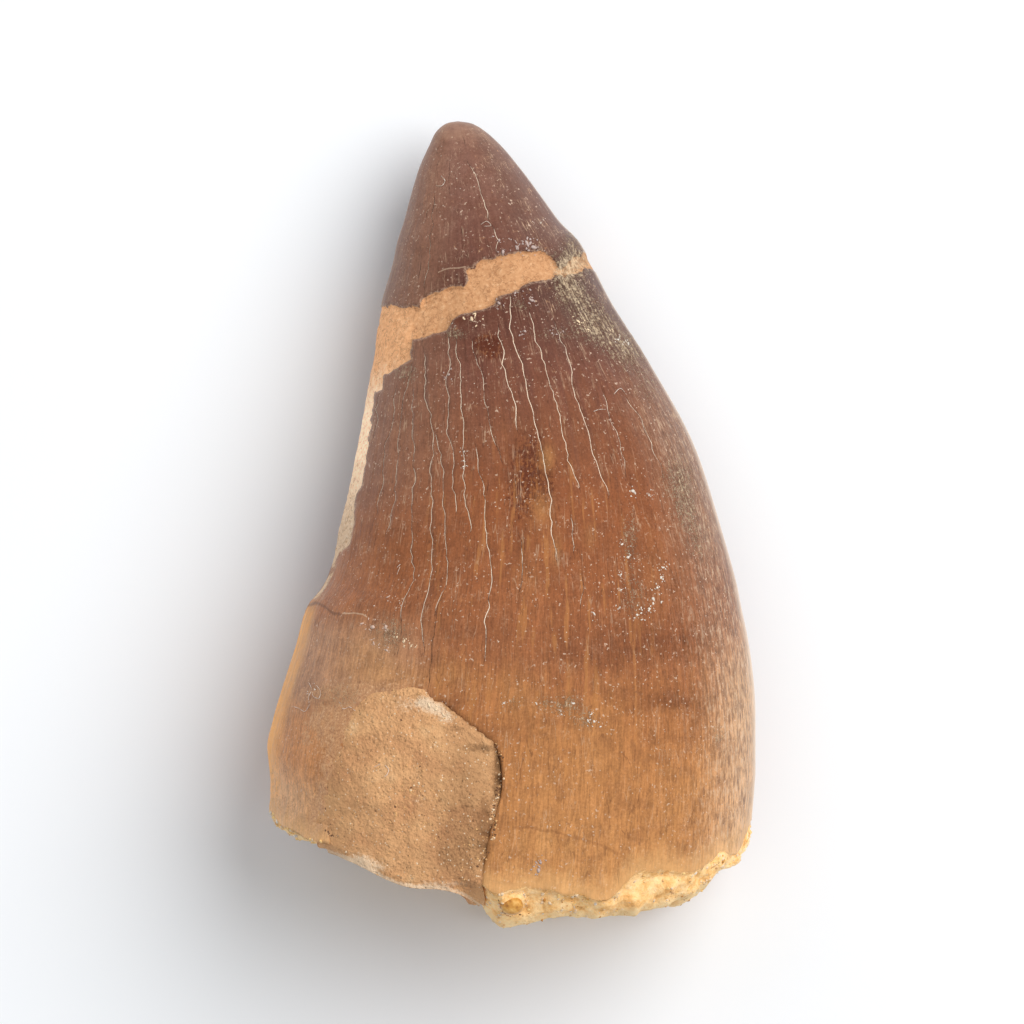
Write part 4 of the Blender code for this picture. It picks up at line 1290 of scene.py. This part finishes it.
def placeGrains(draw, crown, matrix):
    # for each grain: its seat, the way its surface faces there, its radius, its tint, and 1 if it is flat
    look = grainLook
    points, normals = surfaceOf(crown, matrix)
    inCrown = len(crown.data.vertices)
    crownRim = np.empty(inCrown)
    crown.data.attributes["rim"].data.foreach_get("value", crownRim)
    rim = np.concatenate([crownRim, np.full(len(points) - inCrown, -1.0)])
    rows = []

    def put(indices, radii, names, flat, xy=None):
        # a grain sits on a vertex, or on the plane through it at the place that is given
        seats = points[indices]
        if xy is not None:
            drop = ((xy - seats[:, :2]) * normals[indices, :2]).sum(axis=1) / normals[indices, 2]
            seats = np.column_stack([xy, seats[:, 2] - drop])
        tints = [srgb(*look["tints"][name]) for name in names]
        rows.append(np.column_stack([seats, normals[indices], radii, tints, np.full(len(indices), flat)]))

    def scatter(name, where):
        # a number of grains on vertices drawn from those where this holds
        count, least, greatest, power, shares = look["scatter"][name]
        indices = draw.choice(np.flatnonzero(where), count)
        radii = least + (greatest - least) * draw.random(count) ** power
        put(indices, radii, draw.choice(list(shares), count, p=list(shares.values())), 0)

    scatter("rim", (rim > 0.12) & (rim < 1.05) & (normals[:, 2] > -0.2))
    scatter("corner", (points[:, 0] < look["cornerEdge"]) & (rim > 0) & (rim < 1.1) & (normals[:, 2] > -0.3))
    scatter("sand", (np.arange(len(points)) >= inCrown) & (normals[:, 2] > 0.15))
    for tint, group in flecks.items():
        for px, py, radius in group:
            around = draw.normal(0, 1.25 * radius, (look["satellites"] + 1, 2))
            around[0] = 0
            xy = fromPixels(np.array([px, py]) + around)
            shares = np.r_[1.0, draw.uniform(0.15, 0.65, look["satellites"])]
            radii = 0.60 * radius * photo["mmPerPixel"] * shares
            put(nearestFromAbove(points, normals, xy), radii, [tint] * len(radii), 1, xy)
    for pixels, number, scatterWidth, radius, names in grainRows.values():
        line = fromPixels(pixels)
        at = draw.uniform(0, len(line) - 1, number)
        xy = np.column_stack([np.interp(at, np.arange(len(line)), line[:, axis]) for axis in (0, 1)])
        xy += draw.normal(0, scatterWidth, xy.shape)
        radii = radius * draw.uniform(0.5, 1.4, number)
        put(nearestFromAbove(points, normals, xy), radii, draw.choice(names, number), 0, xy)
    return np.split(np.vstack(rows), (3, 6, 7, 11), axis=1)


def grainBalls(draw, seat, normal, radius, flat):
    # a small dented ball for each grain, turned at random about the way that its surface faces
    look, count = grainLook, len(seat)
    ball = bmesh.new()
    bmesh.ops.create_icosphere(ball, subdivisions=1, radius=1.0)
    shape = np.array([vertex.co[:] for vertex in ball.verts])
    faces = np.array([[vertex.index for vertex in face.verts] for face in ball.faces])
    ball.free()

    side = np.cross(normal, (0.3, 1.0, 0.2))
    side /= np.linalg.norm(side, axis=1)[:, None]
    other = np.cross(normal, side)
    spin = draw.uniform(0, math.tau, (count, 1))
    turned = (side * np.cos(spin) + other * np.sin(spin), other * np.cos(spin) - side * np.sin(spin), normal)
    spans = ((0.8, 1.2), (0.8, 1.8), (0.6, 1.0), (0.6, 1.0))
    length, stretch, width, height = (draw.uniform(*span, (count, 1)) for span in spans)
    length = length * np.where(flat > 0, stretch, 1.0)
    radii = radius * np.hstack([length, width, np.where(flat > 0, look["fleckHeight"], height)])
    apart = (shape[None] + 5 * np.arange(count)[:, None, None]).reshape(-1, 3)
    dents = 1 + look["dents"] * lumpy(apart, 0.8, 81)
    local = (shape[None] * radii[:, None]) * dents.reshape(count, -1, 1)
    seat = seat - normal * look["sunk"] * radius * (flat < 1)
    placed = np.einsum("nij,nvj->nvi", np.stack(turned, axis=2), local) + seat[:, None]
    triangles = (faces[None] + len(shape) * np.arange(count)[:, None, None]).reshape(-1, 3)
    return np.clip(placed.reshape(-1, 3), cadLow / mm, cadHigh / mm) * mm, triangles, len(shape)


def buildGrains(crown, matrix):
    # all grains and flecks as one mesh, each with its own tint
    draw = np.random.default_rng(grainLook["seed"])
    seat, normal, radius, tint, flat = placeGrains(draw, crown, matrix)
    vertices, triangles, corners = grainBalls(draw, seat, normal, radius, flat)
    mesh = bpy.data.meshes.new("surfaceGrains")
    mesh.from_pydata(vertices, [], triangles.tolist())
    made = mesh.attributes.new("tint", "FLOAT_COLOR", "POINT")
    made.data.foreach_set("color", np.repeat(tint, corners, axis=0).astype(np.float32).ravel())
    mesh.shade_smooth()
    mesh.update()

    finish = Finish("grainMix")
    grit = finish.noise(finish.place(), 7.0, 4.0, 0.7)
    colour = finish.shade(finish.field("tint", "Color"), 0.55 + grit * 0.8)
    piece("surfaceGrains", mesh, finish.done(colour, 0.6, grit * 0.05, IOR=1.5))
    print("grains:", len(seat), len(mesh.polygons), "faces")


# The amber pebble in the rim

amberPebble = {
    "place": (512, 901),  # in photograph pixels
    "radii": (0.82, 0.70, 0.50),
    "sunk": 0.10,
    "around": 40,
    "rows": 22,
    "stone": ((0.30, 150, 92, 34), (0.50, 206, 146, 66), (0.70, 236, 188, 112)),
}


def buildAmber(crown):
    # an ellipsoid with a few dents, half sunk in the broken rim
    look = amberPebble
    points, normals = surfaceOf(crown)
    place = fromPixels([look["place"]])
    seat = points[nearestFromAbove(points, normals, place)[0]]
    height = np.linspace(0, math.pi, look["rows"] + 2)[1:-1, None]
    turn = np.linspace(0, math.tau, look["around"], endpoint=False)
    wide = np.sin(height)
    ball = np.stack([wide * np.cos(turn), wide * np.sin(turn), np.cos(height) + 0 * turn], axis=-1)
    dents = 1 + 0.10 * lumpy(ball.reshape(-1, 3) + 9, 0.9, 91).reshape(ball.shape[:2])
    rings = ball * dents[:, :, None] * look["radii"] + np.append(place[0], seat[2] - look["sunk"])
    mesh = closedMesh("amberPebble", rings, {})
    finish = Finish("amberStone")
    cloud = finish.noise(finish.place(), 1.6, 4.0, 0.65)
    colour = finish.ramp(cloud, *look["stone"])
    piece("amberPebble", mesh, finish.done(colour, 0.22 + cloud * 0.2, cloud * 0.05, IOR=1.54))
    print("amber:", len(mesh.polygons), "faces")


# Fine fibres that cling to the surface, in photograph pixels

clingingFibres = {
    "radius": 0.026,
    "sides": 5,
    "steps": 22,
    "lint": ((0.35, 196, 170, 148), (0.60, 240, 226, 212)),
    "lines": (
        ((310, 681), (313, 688), (310, 696), (311, 704)),
        ((318, 684), (322, 690), (320, 697), (314, 694), (316, 687)),
        ((293, 705), (300, 707), (306, 710), (311, 703)),
        ((376, 764), (384, 761), (390, 767), (387, 773), (380, 772)),
        ((398, 567), (401, 564), (398, 574)), ((436, 186), (442, 186), (445, 181), (441, 176)),
        ((481, 225), (487, 222), (491, 226), (484, 227)), ((613, 395), (620, 389), (626, 395)),
        ((593, 412), (599, 410), (605, 410)), ((341, 700), (345, 707), (351, 705), (357, 709)),
    ),
}


def buildFibres(crown, matrix):
    # thin tubes: a circle carried along each traced line, laid on the surface under it
    look = clingingFibres
    points, normals = surfaceOf(crown, matrix)
    spin = np.linspace(0, math.tau, look["sides"], endpoint=False)[:, None]
    vertices, faces = [], []
    for number, line in enumerate(look["lines"]):
        traced = fromPixels(line)
        run = lengthAlong(traced)
        path = smoothThrough(np.column_stack([run, traced]), np.linspace(0, run[-1], look["steps"]))
        under = nearestFromAbove(points, normals, path)
        above = 0.02 + 0.05 * np.abs(np.sin(np.linspace(0, 7, look["steps"])))
        path = np.column_stack([path, points[under, 2] + above])
        ahead = np.gradient(path, axis=0)
        side = np.cross(ahead, (0.0, 0.0, 1.0))
        side /= np.linalg.norm(side, axis=1)[:, None]
        up = np.cross(side, ahead)
        up /= np.linalg.norm(up, axis=1)[:, None]
        taper = np.sqrt(np.linspace(0.2, 1, look["steps"]) * np.linspace(1, 0.2, look["steps"]) * 2)
        ring = side[:, None] * np.cos(spin) + up[:, None] * np.sin(spin)
        tube = path[:, None] + ring * (look["radius"] * taper)[:, None, None]
        corners = look["steps"] * look["sides"]
        index = corners * number + np.arange(corners).reshape(tube.shape[:2])
        beside = np.roll(index, -1, axis=1)
        quads = np.stack([index[:-1], index[1:], beside[1:], beside[:-1]], axis=-1).reshape(-1, 4)
        vertices.append(tube.reshape(-1, 3))
        faces += quads.tolist() + [index[0].tolist(), index[-1][::-1].tolist()]
    mesh = bpy.data.meshes.new("clingingFibres")
    mesh.from_pydata(np.vstack(vertices) * mm, [], faces)
    mesh.shade_smooth()
    finish = Finish("paleFibre")
    shade = finish.ramp(finish.noise(finish.place(), 3.0, 2.0), *look["lint"])
    piece("clingingFibres", mesh, finish.done(shade, 0.6, 0.0))
    print("fibres:", len(faces), "faces")


# The floor, the light and the camera

studio = {
    "floor": (0.890, 0.900, 0.912, 1.0),
    "sky": 0.47,
    "skyColour": (0.92, 0.96, 1.0, 1.0),
    "keyPower": 15.8,
    "keySize": 1.20,
    "keyFrom": (0.67, 0.43, 0.96),
    "fillPower": 1.3,
    "fillSize": 1.10,
    "fillFrom": (-0.55, 0.55, 0.60),
    "lens": 600.0,
    "sensor": 36.0,
    "floorReach": 3.0,
    "silhouetteHeight": 8.0,  # the level at which the photograph's scale holds
    "pixels": 1024,
}


def areaLight(name, power, size, place):
    # a round lamp that faces the tooth
    light = bpy.data.lights.new(name, "AREA")
    light.shape = "DISK"
    light.energy, light.size = power, size
    lamp = bpy.data.objects.new(name, light)
    lamp.location = place
    lamp.rotation_euler = (-Vector(place)).to_track_quat("-Z", "Y").to_euler()
    lamp.visible_glossy = lamp.visible_camera = False
    bpy.context.scene.collection.objects.link(lamp)


def buildStudio():
    # a pale floor at z = 0, an even sky, a large key lamp at the upper right and a weak one at the upper left
    finish = Finish("paleFloor")
    finish.shader.inputs["Base Color"].default_value = studio["floor"]
    finish.shader.inputs["Roughness"].default_value = 0.9
    finish.shader.inputs["Specular IOR Level"].default_value = 0.0
    mesh = bpy.data.meshes.new("paleFloor")
    reach = studio["floorReach"]
    corners = [(-reach, -reach, 0), (reach, -reach, 0), (reach, reach, 0), (-reach, reach, 0)]
    mesh.from_pydata(corners, [], [(0, 1, 2, 3)])
    mesh.materials.append(finish.material)
    floor = bpy.data.objects.new("paleFloor", mesh)
    bpy.context.scene.collection.objects.link(floor)
    floor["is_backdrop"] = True
    world = bpy.data.worlds.new("softRoom")
    bpy.context.scene.world = world
    world.use_nodes = True
    sky = world.node_tree.nodes["Background"].inputs
    sky["Color"].default_value, sky["Strength"].default_value = studio["skyColour"], studio["sky"]
    areaLight("key", studio["keyPower"], studio["keySize"], studio["keyFrom"])
    areaLight("fill", studio["fillPower"], studio["fillSize"], studio["fillFrom"])
    bpy.context.scene.view_settings.view_transform = "Standard"
    print("studio: floor, sky and two lamps")


def buildCamera():
    # straight above, so far away that the photograph's width fits at the silhouette's height
    camera = bpy.data.cameras.new("camera")
    camera.lens, camera.sensor_width = studio["lens"], studio["sensor"]
    camera.clip_end = 10.0
    made = bpy.data.objects.new("camera", camera)
    width = studio["pixels"] * photo["mmPerPixel"] * mm
    away = width * studio["lens"] / studio["sensor"]
    shiftX = (studio["pixels"] / 2 - photo["middleX"]) * photo["mmPerPixel"] * mm
    shiftY = (photo["middleY"] - studio["pixels"] / 2) * photo["mmPerPixel"] * mm
    made.location = (shiftX, shiftY, studio["silhouetteHeight"] * mm + away)
    bpy.context.scene.collection.objects.link(made)
    bpy.context.scene.camera = made


buildStudio()
buildCamera()
crown = buildCrown()
matrix = buildMatrix()
buildGrains(crown, matrix)
buildAmber(crown)
buildFibres(crown, matrix)
